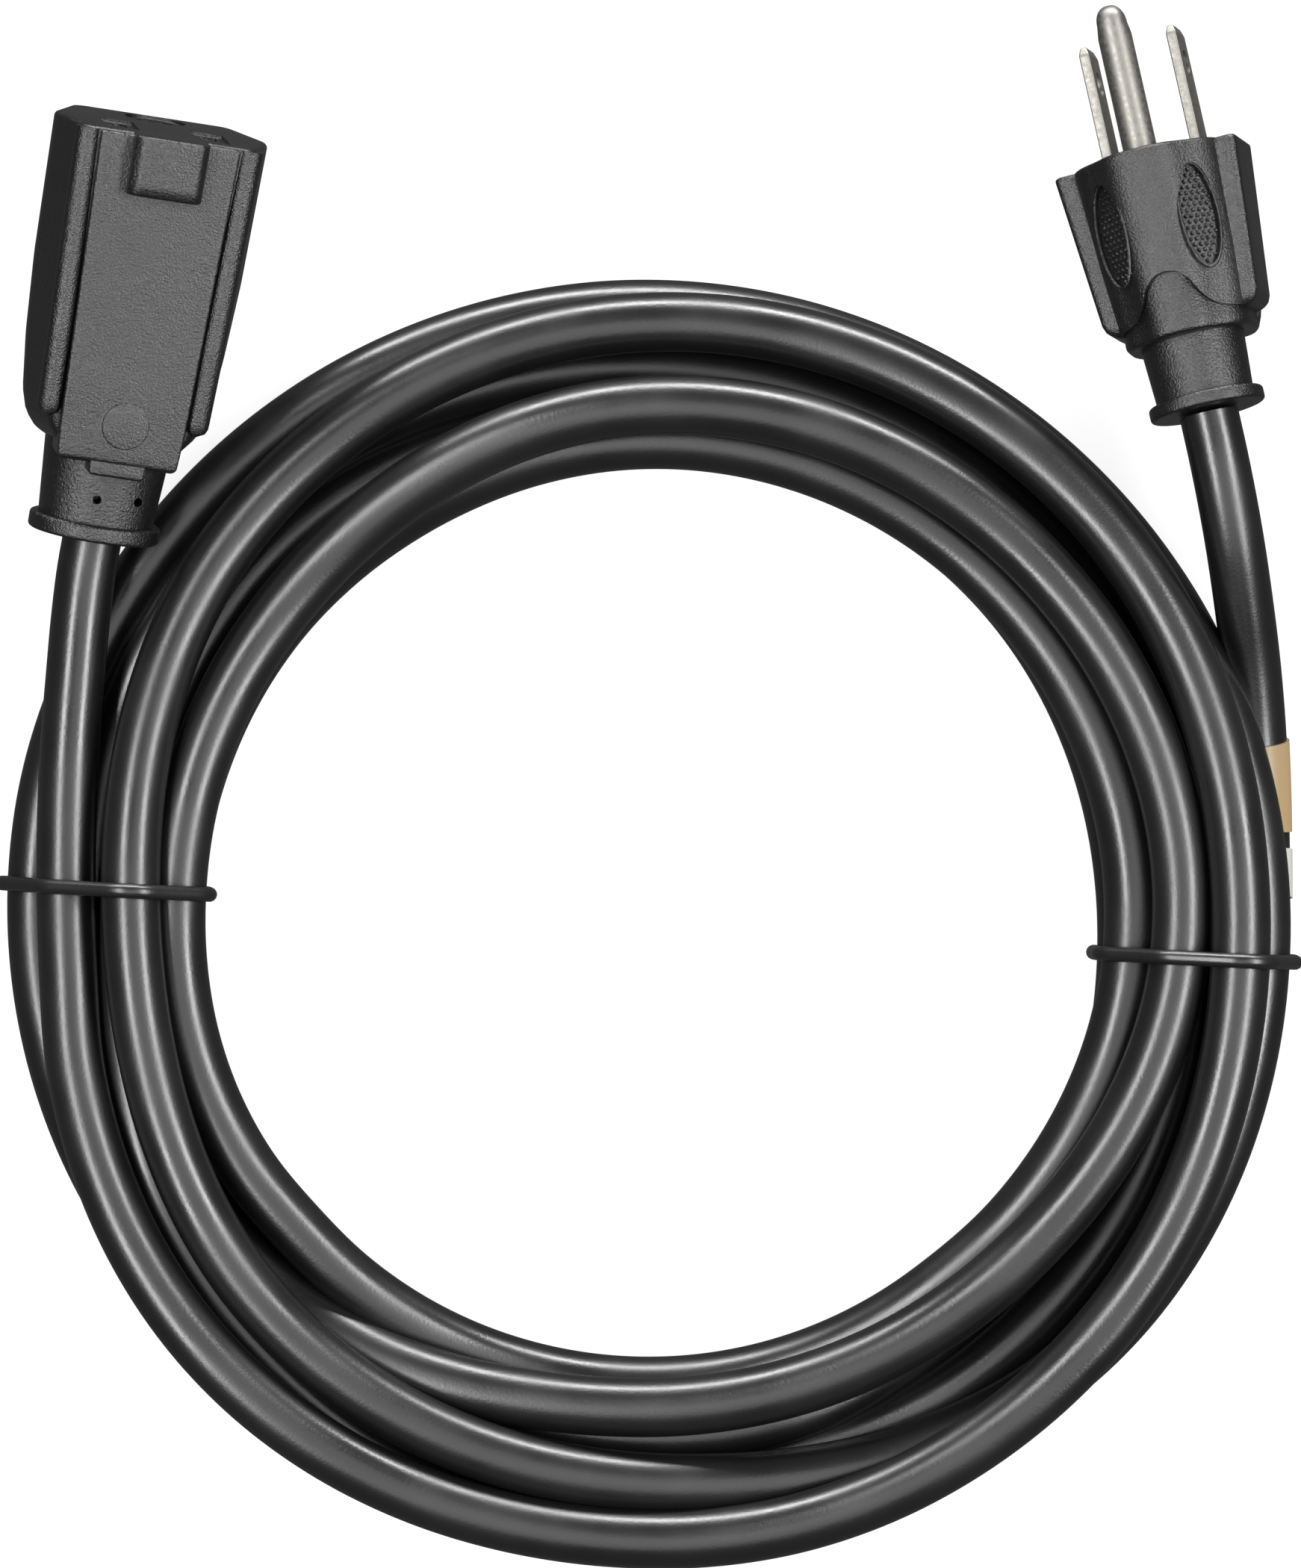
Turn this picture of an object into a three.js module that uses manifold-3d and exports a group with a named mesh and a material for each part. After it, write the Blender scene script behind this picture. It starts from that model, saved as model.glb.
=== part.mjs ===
// A coiled extension cord: a round three-core cord with a moulded three-pin plug on one end and a moulded
// three-hole connector on the other, wound flat and held by two wire ties. Millimetres, +Z up.
// The cord lies on the plane z = 0. The origin is on it, under the middle of the plug and connector.
import * as THREE from "three";
import { mergeVertices } from "three/addons/utils/BufferGeometryUtils.js";
import Module from "manifold-3d";

// --- Driving dimensions ------------------------------------------------------------------------------

const GAP = 0.3; // clearance between neighbouring pieces
const COIL_CENTRE = new THREE.Vector3(0.4, -90.2, 0); // middle of the coil, from the origin

// The cord: a round PVC jacket over three insulated copper cores.
const CORD_RADIUS = 4.15;
const CORD_SIDES = 12;
const CORE_RADIUS = 1.3;
const COPPER_RADIUS = 0.6;
const COPPER_LENGTH = 3.4; // bared end in its crimp

// The coil's bundle of turns.
const COIL_INNER_RADIUS = 62.7;
const COIL_OUTER_RADIUS = 89.7;
const COIL_HEIGHT = 26.2;
const COIL_TOP_ROUNDING = 7;
const COIL_BOTTOM_ROUNDING = 4;
const COIL_SEGMENTS = 48;

// The ties: coated wire pulled round the bundle, which dents it.
const TIE_WIRE = 2.1;
const TIE_BEVEL = 0.5;
const TIE_DENT = 1.6;
const TIES = [
  { name: "left_tie", side: -1, y: 5.0, slope: -3.0 },
  { name: "right_tie", side: 1, y: -4.6, slope: -2.7 },
];

// Where the two moulded ends lie, from the middle of the coil. Angles in degrees: lean turns the end in the
// floor's plane, pitch raises its nose, and roll turns it about its own length.
const CONNECTOR_AT = { place: [-77.5, 54.4, 13.0], lean: -10, pitch: 9, roll: 11 };
const PLUG_AT = { place: [77.9, 71.4, 18.12], lean: 12.3, pitch: -8, roll: -12.5 };

// The cord's two free stretches, from the moulded ends into the coil, from the middle of the coil.
const CONNECTOR_LEAD = [
  [-77.55, 54.1, 12.95],
  [-78.4, 49.4, 12.4],
  [-79.2, 43.0, 12.3],
  [-79.9, 35.0, 12.8],
  [-80.6, 26.0, 13.5],
];
const PLUG_LEAD = [
  [77.96, 71.1, 18.16],
  [79.4, 64.5, 18.6],
  [81.3, 55.0, 17.0],
  [83.0, 45.0, 13.2],
  [84.4, 35.0, 9.0],
  [85.3, 25.0, 6.0],
  [85.7, 14.0, 5.0],
  [85.5, 3.0, 5.4],
];
const PLUG_LEAD_GROOVE = 5.4; // radius of the groove that the plug's lead leaves in the bundle
const SLEEVE_SPAN = [0.635, 0.815]; // shares of the plug's lead that the label sleeve covers
const FLAG_SPAN = [0.845, 0.935]; // shares that the flag tag's wrap covers
const LABEL_THICK = 0.4; // a label's film, wound twice
const WRAP_OVERRUN = 0.03; // share by which the cut through a label runs past it

// The pin layout that both ends share (grounded 15 A, 125 V pattern).
const BLADE_SPACING = 12.7;
const GROUND_OFFSET = 11.9;
const BLADE_THICK = 1.5;
const BLADE_DEEP = 6.35;
const PIN_RADIUS = 2.38;

// The connector, along its own length: cord end at 0, mating face at CONNECTOR_LENGTH.
const CONNECTOR_LENGTH = 58;
const CONNECTOR_COLLAR = { length: 2.4, radius: 9.25, squash: 0.9 };
const CONNECTOR_NECK_TOP = 14;
const CONNECTOR_BODY_FROM = 13;
const CONNECTOR_HALF_WIDTH = 15.05;
const CONNECTOR_SLOT_Z = 4.6; // height of the blade slots above the middle plane
const CONNECTOR_WALL = 3; // face wall in front of the contact carrier
const CONNECTOR_JACKET = 13; // how far the cord's jacket goes in
const CONNECTOR_CARRIER = { from: 33, half: 9.4, low: -10.1, high: 8.8 };

// The plug, along its own length: cord end at 0, mating face at PLUG_LENGTH.
const PLUG_LENGTH = 36.5;
const PLUG_COLLAR = { length: 2.0, radius: 8.15, squash: 0.92 };
const PLUG_NECK_TOP = 11.5;
const PLUG_BODY_FROM = 10.6;
const PLUG_BLADE_Z = -4.5;
const PLUG_JACKET = 8.5; // how far the cord's jacket goes in
const PLUG_BRIDGE = { from: 28, to: 33.5, half: 8.1, low: -8.8, step: -0.6, pinHalf: 3.4, high: 10.4 };
const BLADE_LENGTH = 18.2;
const PIN_LENGTH = 21.2;
const BLADE_ROOT = 23.5; // where the blades and the pin start inside the plug

// --- Materials ---------------------------------------------------------------------------------------

const material = (color, roughness, metalness = 0) =>
  new THREE.MeshStandardMaterial({ color, roughness, metalness });
const finishes = {
  moulded: () => material(0x1c1c1d, 0.62),
  jacket: () => material(0x151516, 0.42),
  nylon: () => material(0xb9b4a4, 0.55),
  nickel: () => material(0xc9c8c4, 0.28, 1),
  brass: () => material(0xc9a24d, 0.35, 1),
  copper: () => material(0xb87348, 0.35, 1),
  coated: () => material(0x101010, 0.38),
  blackCore: () => material(0x1a1a1a, 0.5),
  whiteCore: () => material(0xe6e4dc, 0.5),
  greenCore: () => material(0x2f7a3d, 0.5),
  tanLabel: () => material(0xcbb08a, 0.55),
  whiteLabel: () => material(0xf1f1ee, 0.5),
};

// --- Solids: three.js geometry, joined and cut by manifold-3d ----------------------------------------

const wasm = await Module();
wasm.setup();

const WELD = 1e-4; // vertices closer than this are one
const AXIS_X = new THREE.Vector3(1, 0, 0);
const AXIS_Y = new THREE.Vector3(0, 1, 0);
const AXIS_Z = new THREE.Vector3(0, 0, 1);

function solidOf(geometry) {
  const bare = geometry.clone();
  bare.deleteAttribute("normal");
  bare.deleteAttribute("uv");
  const merged = mergeVertices(bare, WELD);
  return new wasm.Manifold(
    new wasm.Mesh({
      numProp: 3,
      vertProperties: new Float32Array(merged.attributes.position.array),
      triVerts: new Uint32Array(merged.index.array),
    }),
  );
}

function geometryOf(solid) {
  const mesh = solid.getMesh();
  return new THREE.BufferGeometry()
    .setAttribute("position", new THREE.BufferAttribute(new Float32Array(mesh.vertProperties), 3))
    .setIndex(new THREE.BufferAttribute(new Uint32Array(mesh.triVerts), 1));
}

const join = (...parts) => parts.map(solidOf).reduce((all, next) => all.add(next));
const cut = (base, ...tools) => tools.reduce((left, tool) => left.subtract(solidOf(tool)), base);

// A box between two corners.
function block([x0, y0, z0], [x1, y1, z1]) {
  const box = new THREE.BoxGeometry(x1 - x0, y1 - y0, z1 - z0);
  return box.translate((x0 + x1) / 2, (y0 + y1) / 2, (z0 + z1) / 2);
}

// A round bar along Y from one place to another, tapered from radius r0 to r1 and squashed in height.
function bar(r0, r1, from, to, { x = 0, z = 0, squash = 1, sides = 20 } = {}) {
  const round = new THREE.CylinderGeometry(r1, r0, to - from, sides);
  return round.scale(1, 1, squash).translate(x, (from + to) / 2, z);
}

// An outline in width (x) and height (z), carried along Y in steps.
function prism(outline, from, to, steps = 1) {
  const shape = new THREE.Shape(outline.map(([x, z]) => new THREE.Vector2(x, z)));
  const extruded = new THREE.ExtrudeGeometry(shape, { depth: to - from, steps, bevelEnabled: false });
  return extruded.rotateX(Math.PI / 2).translate(0, to, 0);
}

// Scales each section of a prism in width and height by the shares that a function of Y gives.
function shaped(geometry, shares) {
  const at = geometry.attributes.position;
  for (let i = 0; i < at.count; i++) {
    const [wide, high] = shares(at.getY(i));
    at.setX(i, at.getX(i) * wide);
    at.setZ(i, at.getZ(i) * high);
  }
  return geometry;
}

// A value read off a list of [place, value] pairs in rising order, straight between them.
function between(table, place) {
  const next = table.findIndex(([at]) => at >= place);
  if (next === 0) return table[0][1];
  if (next < 0) return table[table.length - 1][1];
  const [[a, from], [b, to]] = [table[next - 1], table[next]];
  return from + ((to - from) * (place - a)) / (b - a);
}

const curveOf = (points) =>
  new THREE.CatmullRomCurve3(points.map((p) => new THREE.Vector3(...p)), false, "centripetal");

// A round tube along a curve.
function tube(curve, radius, steps, sides = CORD_SIDES) {
  const corners = [];
  for (let i = 0; i < sides; i++) {
    const turn = ((i + 0.5) / sides) * 2 * Math.PI;
    corners.push(new THREE.Vector2(radius * Math.cos(turn), radius * Math.sin(turn)));
  }
  const section = new THREE.Shape(corners);
  return new THREE.ExtrudeGeometry(section, { steps, extrudePath: curve, bevelEnabled: false });
}

// The stretch of a curve between two shares of its length, as a curve.
function stretch(curve, [from, to], count = 5) {
  const points = [];
  for (let i = 0; i < count; i++) points.push(curve.getPointAt(from + ((to - from) * i) / (count - 1)));
  return new THREE.CatmullRomCurve3(points, false, "centripetal");
}

function pieceOf(name, geometry, finish) {
  const mesh = new THREE.Mesh(geometry, finish);
  mesh.name = name;
  return mesh;
}

// --- The insulated cores and bare copper ends inside a moulded end -----------------------------------

const CORES = [
  { name: "line", finish: "blackCore", start: [-1.65, 0.9], x: -BLADE_SPACING / 2, pin: false },
  { name: "neutral", finish: "whiteCore", start: [1.65, 0.9], x: BLADE_SPACING / 2, pin: false },
  { name: "ground", finish: "greenCore", start: [0, -1.9], x: 0, pin: true },
];

// The route of one core, from the jacket's cut end at from to the crimp that it ends in at to.
function coreRoute(core, { from, to, heightOf }) {
  const [x, side] = core.start;
  const crimpZ = heightOf(core);
  const z = Math.abs(side) * Math.sign(crimpZ);
  const start = from + GAP;
  return curveOf([
    [x, start, z],
    [x, start + 1, z],
    [(x + core.x) / 2, (start + to) / 2, (z + crimpZ) / 2],
    [core.x, to - 1, crimpZ],
    [core.x, to, crimpZ],
  ]);
}

const CORE_SIDES = 8;
const CORE_STEPS = 8;
const CORE_ROOM = CORE_RADIUS + GAP + 0.1;
const coreTool = (core, run) => tube(coreRoute(core, run), CORE_ROOM, CORE_STEPS, CORE_SIDES);

function addCores(group, end, run) {
  for (const core of CORES) {
    const route = tube(coreRoute(core, run), CORE_RADIUS, CORE_STEPS, CORE_SIDES);
    group.add(pieceOf(`${end}_${core.name}_core`, route, finishes[core.finish]()));
    const at = { x: core.x, z: run.heightOf(core), sides: CORE_SIDES };
    const copper = bar(COPPER_RADIUS, COPPER_RADIUS, run.to + GAP, run.to + GAP + COPPER_LENGTH, at);
    group.add(pieceOf(`${end}_${core.name}_copper`, copper, finishes.copper()));
  }
}

// A crimp barrel: a short open tube along Y around a copper end.
const CRIMP_RADIUS = 1.55;
const CRIMP_LENGTH = 5;
const CRIMP_BORE = COPPER_RADIUS + GAP + 0.05;
const CRIMP_END = 0.8; // closed end of the barrel
const CRIMP_LAP = 0.5; // how far a barrel goes into the piece that it is part of
function crimp(start, root, x, z) {
  const [from, to] = [start + 0.1, root + CRIMP_LAP];
  const outer = bar(CRIMP_RADIUS, CRIMP_RADIUS, from, to, { x, z, sides: 12 });
  const bore = bar(CRIMP_BORE, CRIMP_BORE, from - 1, to - CRIMP_END, { x, z, sides: 8 });
  return cut(solidOf(outer), bore);
}

function jacketBore(reach) {
  const radius = CORD_RADIUS + GAP;
  return bar(radius, radius, -1, reach + GAP, { sides: CORD_SIDES });
}

function jacketEnd(name, reach) {
  const stub = bar(CORD_RADIUS, CORD_RADIUS, GAP, reach, { sides: CORD_SIDES });
  return pieceOf(name, stub, finishes.jacket());
}

// --- The connector -----------------------------------------------------------------------------------

// The body's section at the mating face: a flat front, sides that slope out to the middle, a flat back.
const CONNECTOR_OUTLINE = [
  [-11.2, 11.3],
  [11.2, 11.3],
  [12.2, 10.4],
  [CONNECTOR_HALF_WIDTH, 0.9],
  [CONNECTOR_HALF_WIDTH, -0.9],
  [11.4, -11.2],
  [10.4, -12],
  [-10.4, -12],
  [-11.4, -11.2],
  [-CONNECTOR_HALF_WIDTH, -0.9],
  [-CONNECTOR_HALF_WIDTH, 0.9],
  [-12.2, 10.4],
];
// Half widths of the body along its length, and the share of its thickness that it keeps.
const CONNECTOR_WIDTHS = [
  [13, 9.3],
  [14.4, 11.0],
  [16, 12.2],
  [19, 13.1],
  [27, 14.0],
  [38, 14.65],
  [58, CONNECTOR_HALF_WIDTH],
];
const CONNECTOR_DEPTHS = [
  [13, 0.78],
  [16, 0.86],
  [22, 0.92],
  [58, 1],
];
const CONNECTOR_PANEL = { from: 11.6, root: 5, top: 12.1, halfAtFace: 9.85, halfAtNeck: 8.4 };
const CONNECTOR_RIB = { from: 17, radius: 1.35, x: 11.0, z: 11.0 };
const CONNECTOR_BOSS = { from: 51.3, half: 5.0, root: 8, shoulder: 13.3, top: 15.2, chamfer: 1.8 };

const connectorShares = (y) => [
  between(CONNECTOR_WIDTHS, y) / CONNECTOR_HALF_WIDTH,
  between(CONNECTOR_DEPTHS, y),
];

// The small block on the panel at the mating face, with its two long top edges cut off.
function connectorBoss() {
  const { from, half, root, shoulder, top, chamfer } = CONNECTOR_BOSS;
  const right = [[half, root], [half, shoulder], [half - chamfer, top]];
  const left = right.map(([x, z]) => [-x, z]).reverse();
  return prism([...right, ...left], from, CONNECTOR_LENGTH);
}

function connectorOvermould(run) {
  const { length, radius, squash } = CONNECTOR_COLLAR;
  const bodyPrism = prism(CONNECTOR_OUTLINE, CONNECTOR_BODY_FROM, CONNECTOR_LENGTH, 9);
  const body = shaped(bodyPrism, connectorShares);
  const neck = bar(8.0, 8.95, 1, CONNECTOR_NECK_TOP, { squash, sides: 24 });
  const collar = bar(radius, radius, 0, length, { squash, sides: 24 });
  const { from, root, top, halfAtFace, halfAtNeck } = CONNECTOR_PANEL;
  const flat = [[-halfAtFace, root], [halfAtFace, root], [halfAtFace, top], [-halfAtFace, top]];
  const panelWidths = [[from, halfAtNeck], [CONNECTOR_LENGTH, halfAtFace]];
  const panel = shaped(prism(flat, from, CONNECTOR_LENGTH, 6), (y) => [
    between(panelWidths, y) / halfAtFace,
    between(CONNECTOR_DEPTHS, y),
  ]);
  const rib = CONNECTOR_RIB;
  const ribs = [-1, 1].map((side) => {
    const at = { x: side * rib.x, z: rib.z, sides: 12 };
    return shaped(bar(rib.radius, rib.radius, rib.from, CONNECTOR_LENGTH, at), connectorShares);
  });
  const outer = join(body, neck, collar, panel, ...ribs, connectorBoss());
  const carrier = CONNECTOR_CARRIER;
  const wallBack = CONNECTOR_LENGTH - CONNECTOR_WALL;
  const pocket = block(
    [-carrier.half - GAP, carrier.from - GAP, carrier.low - GAP],
    [carrier.half + GAP, wallBack + GAP, carrier.high + GAP],
  );
  const slots = CORES.map((core) => connectorHole(core, wallBack - 1, CONNECTOR_LENGTH + 1));
  const channels = CORES.map((core) => coreTool(core, run));
  return geometryOf(cut(outer, pocket, ...slots, jacketBore(CONNECTOR_JACKET), ...channels));
}

// One of the three holes in the mating face: two slots, and a ground hole with one flat side.
const CONNECTOR_SLOT = { wide: 2.3, high: 7.2 };
const CONNECTOR_GROUND_HOLE = { radius: 2.85, flat: 2.05 };
function connectorHole(core, from, to) {
  if (!core.pin) {
    const [w, h] = [CONNECTOR_SLOT.wide / 2, CONNECTOR_SLOT.high / 2];
    return block([core.x - w, from, CONNECTOR_SLOT_Z - h], [core.x + w, to, CONNECTOR_SLOT_Z + h]);
  }
  const z = CONNECTOR_SLOT_Z - GROUND_OFFSET;
  const { radius, flat } = CONNECTOR_GROUND_HOLE;
  const round = bar(radius, radius, from, to, { z, sides: 20 });
  const above = block([-radius - 1, from - 1, z + flat], [radius + 1, to + 1, z + radius + 1]);
  return geometryOf(cut(solidOf(round), above));
}

const CONTACT = { from: 39, to: 54, wide: 3.6, leaf: 0.8, high: 6.2, ring: 3.0, ringBore: 2.45 };
const POCKET_ROOM = 0.4;

function connectorCarrier() {
  const { from, half, low, high } = CONNECTOR_CARRIER;
  const to = CONNECTOR_LENGTH - CONNECTOR_WALL;
  let carrier = solidOf(block([-half, from, low], [half, to, high]));
  for (const core of CORES) {
    const z = connectorHeight(core);
    const wide = CONTACT.wide / 2 + POCKET_ROOM;
    const tall = CONTACT.high / 2 + POCKET_ROOM;
    const round = CONTACT.ring + POCKET_ROOM;
    const pocket = core.pin
      ? bar(round, round, CONTACT.from - 0.5, to + 1, { z, sides: 20 })
      : block([core.x - wide, CONTACT.from - 0.5, z - tall], [core.x + wide, to + 1, z + tall]);
    const slim = CRIMP_RADIUS + POCKET_ROOM;
    const passage = bar(slim, slim, from - 1, CONTACT.from + 1, { x: core.x, z, sides: 14 });
    carrier = cut(carrier, pocket, passage);
  }
  return geometryOf(carrier);
}

// A blade contact: two leaves joined at the back by a bridge, and a crimp barrel behind it.
function bladeContact(x, z, crimpY) {
  const { from, to, wide, leaf, high } = CONTACT;
  const [w, h] = [wide / 2, high / 2];
  const outer = solidOf(block([x - w, from, z - h], [x + w, to, z + h]));
  const mouth = block([x - w + leaf, from + 1, z - h - 1], [x + w - leaf, to + 1, z + h + 1]);
  return geometryOf(cut(outer, mouth).add(crimp(crimpY, from, x, z)));
}

// A ground contact: a split ring, closed at the back by a disc with a crimp barrel behind it.
function ringContact(z, crimpY) {
  const { from, to, ring, ringBore } = CONTACT;
  const outer = solidOf(bar(ring, ring, from, to, { z, sides: 20 }));
  const bore = bar(ringBore, ringBore, from + 1, to + 1, { z, sides: 20 });
  const split = block([-0.5, from + 2, z - ring - 1], [0.5, to + 1, z]);
  return geometryOf(cut(outer, bore, split).add(crimp(crimpY, from, 0, z)));
}

const connectorHeight = (core) => (core.pin ? CONNECTOR_SLOT_Z - GROUND_OFFSET : CONNECTOR_SLOT_Z);

function connector() {
  const group = new THREE.Group();
  const crimpY = CONTACT.from - CRIMP_LENGTH;
  const run = { from: CONNECTOR_JACKET, to: crimpY, heightOf: connectorHeight };
  group.add(pieceOf("connector_overmould", connectorOvermould(run), finishes.moulded()));
  group.add(pieceOf("connector_contact_carrier", connectorCarrier(), finishes.nylon()));
  for (const core of CORES) {
    const z = connectorHeight(core);
    const contact = core.pin ? ringContact(z, crimpY) : bladeContact(core.x, z, crimpY);
    group.add(pieceOf(`connector_${core.name}_contact`, contact, finishes.brass()));
  }
  addCores(group, "connector", run);
  group.add(jacketEnd("connector_jacket_end", CONNECTOR_JACKET));
  return group;
}

// --- The plug ----------------------------------------------------------------------------------------

// The grip's section at the mating face, without its two fins: a round ridge over the ground pin, a hollow
// on each side of it, and a flat back.
const PLUG_OUTLINE = [
  [-3.9, 12.1],
  [0, 12.6],
  [3.9, 12.1],
  [6.6, 9.4],
  [9.4, 7.4],
  [11.0, 4.0],
  [11.4, -5.0],
  [9.4, -11.4],
  [-9.4, -11.4],
  [-11.4, -5.0],
  [-11.0, 4.0],
  [-9.4, 7.4],
  [-6.6, 9.4],
];
const PLUG_SHARES = [
  [10.6, 0.79],
  [14, 0.8],
  [22, 0.87],
  [36.5, 1],
];
// A fin's section on the right side at the mating face.
const PLUG_FIN = [
  [9.6, 5.6],
  [11.8, 5.9],
  [13.2, 4.4],
  [13.2, -4.6],
  [11.6, -6.4],
  [9.6, -6.4],
];
const PLUG_FIN_FROM = 12.4;
const PLUG_FIN_SHARES = [
  [12.4, 0.72],
  [14, 0.83],
  [36.5, 1],
];
const plugHeight = (core) => (core.pin ? PLUG_BLADE_Z + GROUND_OFFSET : PLUG_BLADE_Z);

function plugOvermould(run) {
  const { length, radius, squash } = PLUG_COLLAR;
  const grip = shaped(prism(PLUG_OUTLINE, PLUG_BODY_FROM, PLUG_LENGTH, 6), (y) => {
    const share = between(PLUG_SHARES, y);
    return [share, share];
  });
  const fins = [-1, 1].map((side) => {
    const outline = PLUG_FIN.map(([x, z]) => [side * x, z]);
    return shaped(prism(outline, PLUG_FIN_FROM, PLUG_LENGTH, 5), (y) => {
      const share = between(PLUG_FIN_SHARES, y);
      return [share, share];
    });
  });
  const neck = bar(6.8, 7.4, 1, PLUG_NECK_TOP, { squash, sides: 24 });
  const collar = bar(radius, radius, 0, length, { squash, sides: 24 });
  const outer = join(grip, ...fins, neck, collar);
  const { from, to } = PLUG_BRIDGE;
  const tools = [...bridgeBlocks(GAP), jacketBore(PLUG_JACKET)];
  for (const core of CORES) {
    const at = { x: core.x, z: plugHeight(core), sides: 12 };
    const room = CRIMP_RADIUS + POCKET_ROOM;
    tools.push(coreTool(core, run));
    tools.push(bar(room, room, run.to - 0.2, from + 1, at));
    tools.push(plugPinTool(core, BLADE_ROOT - GAP, from + 1), plugPinTool(core, to - 1, PLUG_LENGTH + 1));
  }
  return geometryOf(cut(outer, ...tools));
}

// The room that a blade or the ground pin takes, with its clearance.
function plugPinTool(core, from, to) {
  const z = plugHeight(core);
  if (core.pin) return bar(PIN_RADIUS + GAP, PIN_RADIUS + GAP, from, to, { z, sides: 20 });
  const [w, h] = [BLADE_THICK / 2 + GAP, BLADE_DEEP / 2 + GAP];
  return block([core.x - w, from, z - h], [core.x + w, to, z + h]);
}

// The bridge that holds the three pins while the body is moulded: a bar across the blades with a post for
// the ground pin, each larger by grow all round.
function bridgeBlocks(grow) {
  const { from, to, half, low, step, pinHalf, high } = PLUG_BRIDGE;
  return [
    block([-half - grow, from - grow, low - grow], [half + grow, to + grow, step + grow]),
    block([-pinHalf - grow, from - grow, low - grow], [pinHalf + grow, to + grow, high + grow]),
  ];
}

function plugBridge() {
  const holes = CORES.map((core) => plugPinTool(core, PLUG_BRIDGE.from - 1, PLUG_BRIDGE.to + 1));
  return geometryOf(cut(join(...bridgeBlocks(0)), ...holes));
}

// A flat blade with a tapered tip and a round hole near it, and a crimp barrel behind.
const BLADE_HOLE = { radius: 1.75, fromTip: 5.2 };
const BLADE_TIP = { long: 1.8, wide: 1.3 };
function blade(x, z, crimpY) {
  const tip = PLUG_LENGTH + BLADE_LENGTH;
  const [w, h] = [BLADE_THICK / 2, BLADE_DEEP / 2];
  const upper = [[tip, h - BLADE_TIP.wide], [tip - BLADE_TIP.long, h], [BLADE_ROOT, h]];
  const lower = upper.map(([a, b]) => [a, -b]).reverse();
  const side = new THREE.Shape([...lower, ...upper].map(([a, b]) => new THREE.Vector2(a, b)));
  const hole = new THREE.Path();
  hole.absarc(tip - BLADE_HOLE.fromTip, 0, BLADE_HOLE.radius, 0, 2 * Math.PI, true);
  side.holes.push(hole);
  const flat = { depth: BLADE_THICK, bevelEnabled: false, curveSegments: 10 };
  const sheet = new THREE.ExtrudeGeometry(side, flat);
  const standing = new THREE.Matrix4().makeBasis(AXIS_Y, AXIS_Z, AXIS_X);
  sheet.translate(0, 0, -w).applyMatrix4(standing).translate(x, 0, z);
  return geometryOf(solidOf(sheet).add(crimp(crimpY, BLADE_ROOT, x, z)));
}

// The round ground pin, with a rounded tip, and a crimp barrel behind.
function groundPin(z, crimpY) {
  const tip = PLUG_LENGTH + PIN_LENGTH;
  const profile = [new THREE.Vector2(0, BLADE_ROOT), new THREE.Vector2(PIN_RADIUS, BLADE_ROOT)];
  for (let i = 0; i <= 6; i++) {
    const turn = (i / 6) * (Math.PI / 2);
    const r = i < 6 ? PIN_RADIUS * Math.cos(turn) : 0;
    profile.push(new THREE.Vector2(r, tip - PIN_RADIUS + PIN_RADIUS * Math.sin(turn)));
  }
  const pin = new THREE.LatheGeometry(profile, 20).translate(0, 0, z);
  return geometryOf(solidOf(pin).add(crimp(crimpY, BLADE_ROOT, 0, z)));
}

function plug() {
  const group = new THREE.Group();
  const crimpY = BLADE_ROOT - CRIMP_LENGTH + 0.5;
  const run = { from: PLUG_JACKET, to: crimpY, heightOf: plugHeight };
  group.add(pieceOf("plug_overmould", plugOvermould(run), finishes.moulded()));
  group.add(pieceOf("plug_inner_bridge", plugBridge(), finishes.nylon()));
  for (const core of CORES) {
    const z = plugHeight(core);
    const made = core.pin ? groundPin(z, crimpY) : blade(core.x, z, crimpY);
    const name = core.pin ? "plug_ground_pin" : `plug_${core.name}_blade`;
    group.add(pieceOf(name, made, finishes.nickel()));
  }
  addCores(group, "plug", run);
  group.add(jacketEnd("plug_jacket_end", PLUG_JACKET));
  return group;
}

// --- The cord, its ties and its labels ---------------------------------------------------------------

// A rectangle in radius and height with rounded corners, larger by grow all round, as points.
function bundleOutline({ inner, outer, low, high, grow = 0 }) {
  const [x0, x1, y0, y1] = [inner - grow, outer + grow, low - grow, high + grow];
  const [top, bottom] = [COIL_TOP_ROUNDING + grow, COIL_BOTTOM_ROUNDING + grow];
  const path = new THREE.Path();
  path.absarc(x1 - bottom, y0 + bottom, bottom, -Math.PI / 2, 0, false);
  path.absarc(x1 - top, y1 - top, top, 0, Math.PI / 2, false);
  path.absarc(x0 + top, y1 - top, top, Math.PI / 2, Math.PI, false);
  path.absarc(x0 + bottom, y0 + bottom, bottom, Math.PI, 1.5 * Math.PI, false);
  return path.getPoints(3);
}

const COIL = { inner: COIL_INNER_RADIUS, outer: COIL_OUTER_RADIUS, low: 0, high: COIL_HEIGHT };
// The bundle where a tie pulls it in at the sides, clear of the wire that runs under it.
const DENTED = {
  inner: COIL_INNER_RADIUS + TIE_DENT,
  outer: COIL_OUTER_RADIUS - TIE_DENT,
  low: TIE_WIRE + 2 * GAP,
  high: COIL_HEIGHT,
};

// Puts a solid made across the bundle at radius x, height y and thickness z where its tie is.
function atTie(geometry, tie) {
  const facing = tie.side > 0 ? 0 : Math.PI;
  const turned = geometry.rotateX(Math.PI / 2).rotateZ(facing);
  const middle = (tie.side * (COIL_INNER_RADIUS + COIL_OUTER_RADIUS)) / 2;
  const slope = THREE.MathUtils.degToRad(tie.slope);
  return turned.translate(-middle, 0, 0).rotateZ(slope).translate(middle, tie.y, 0);
}

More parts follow.
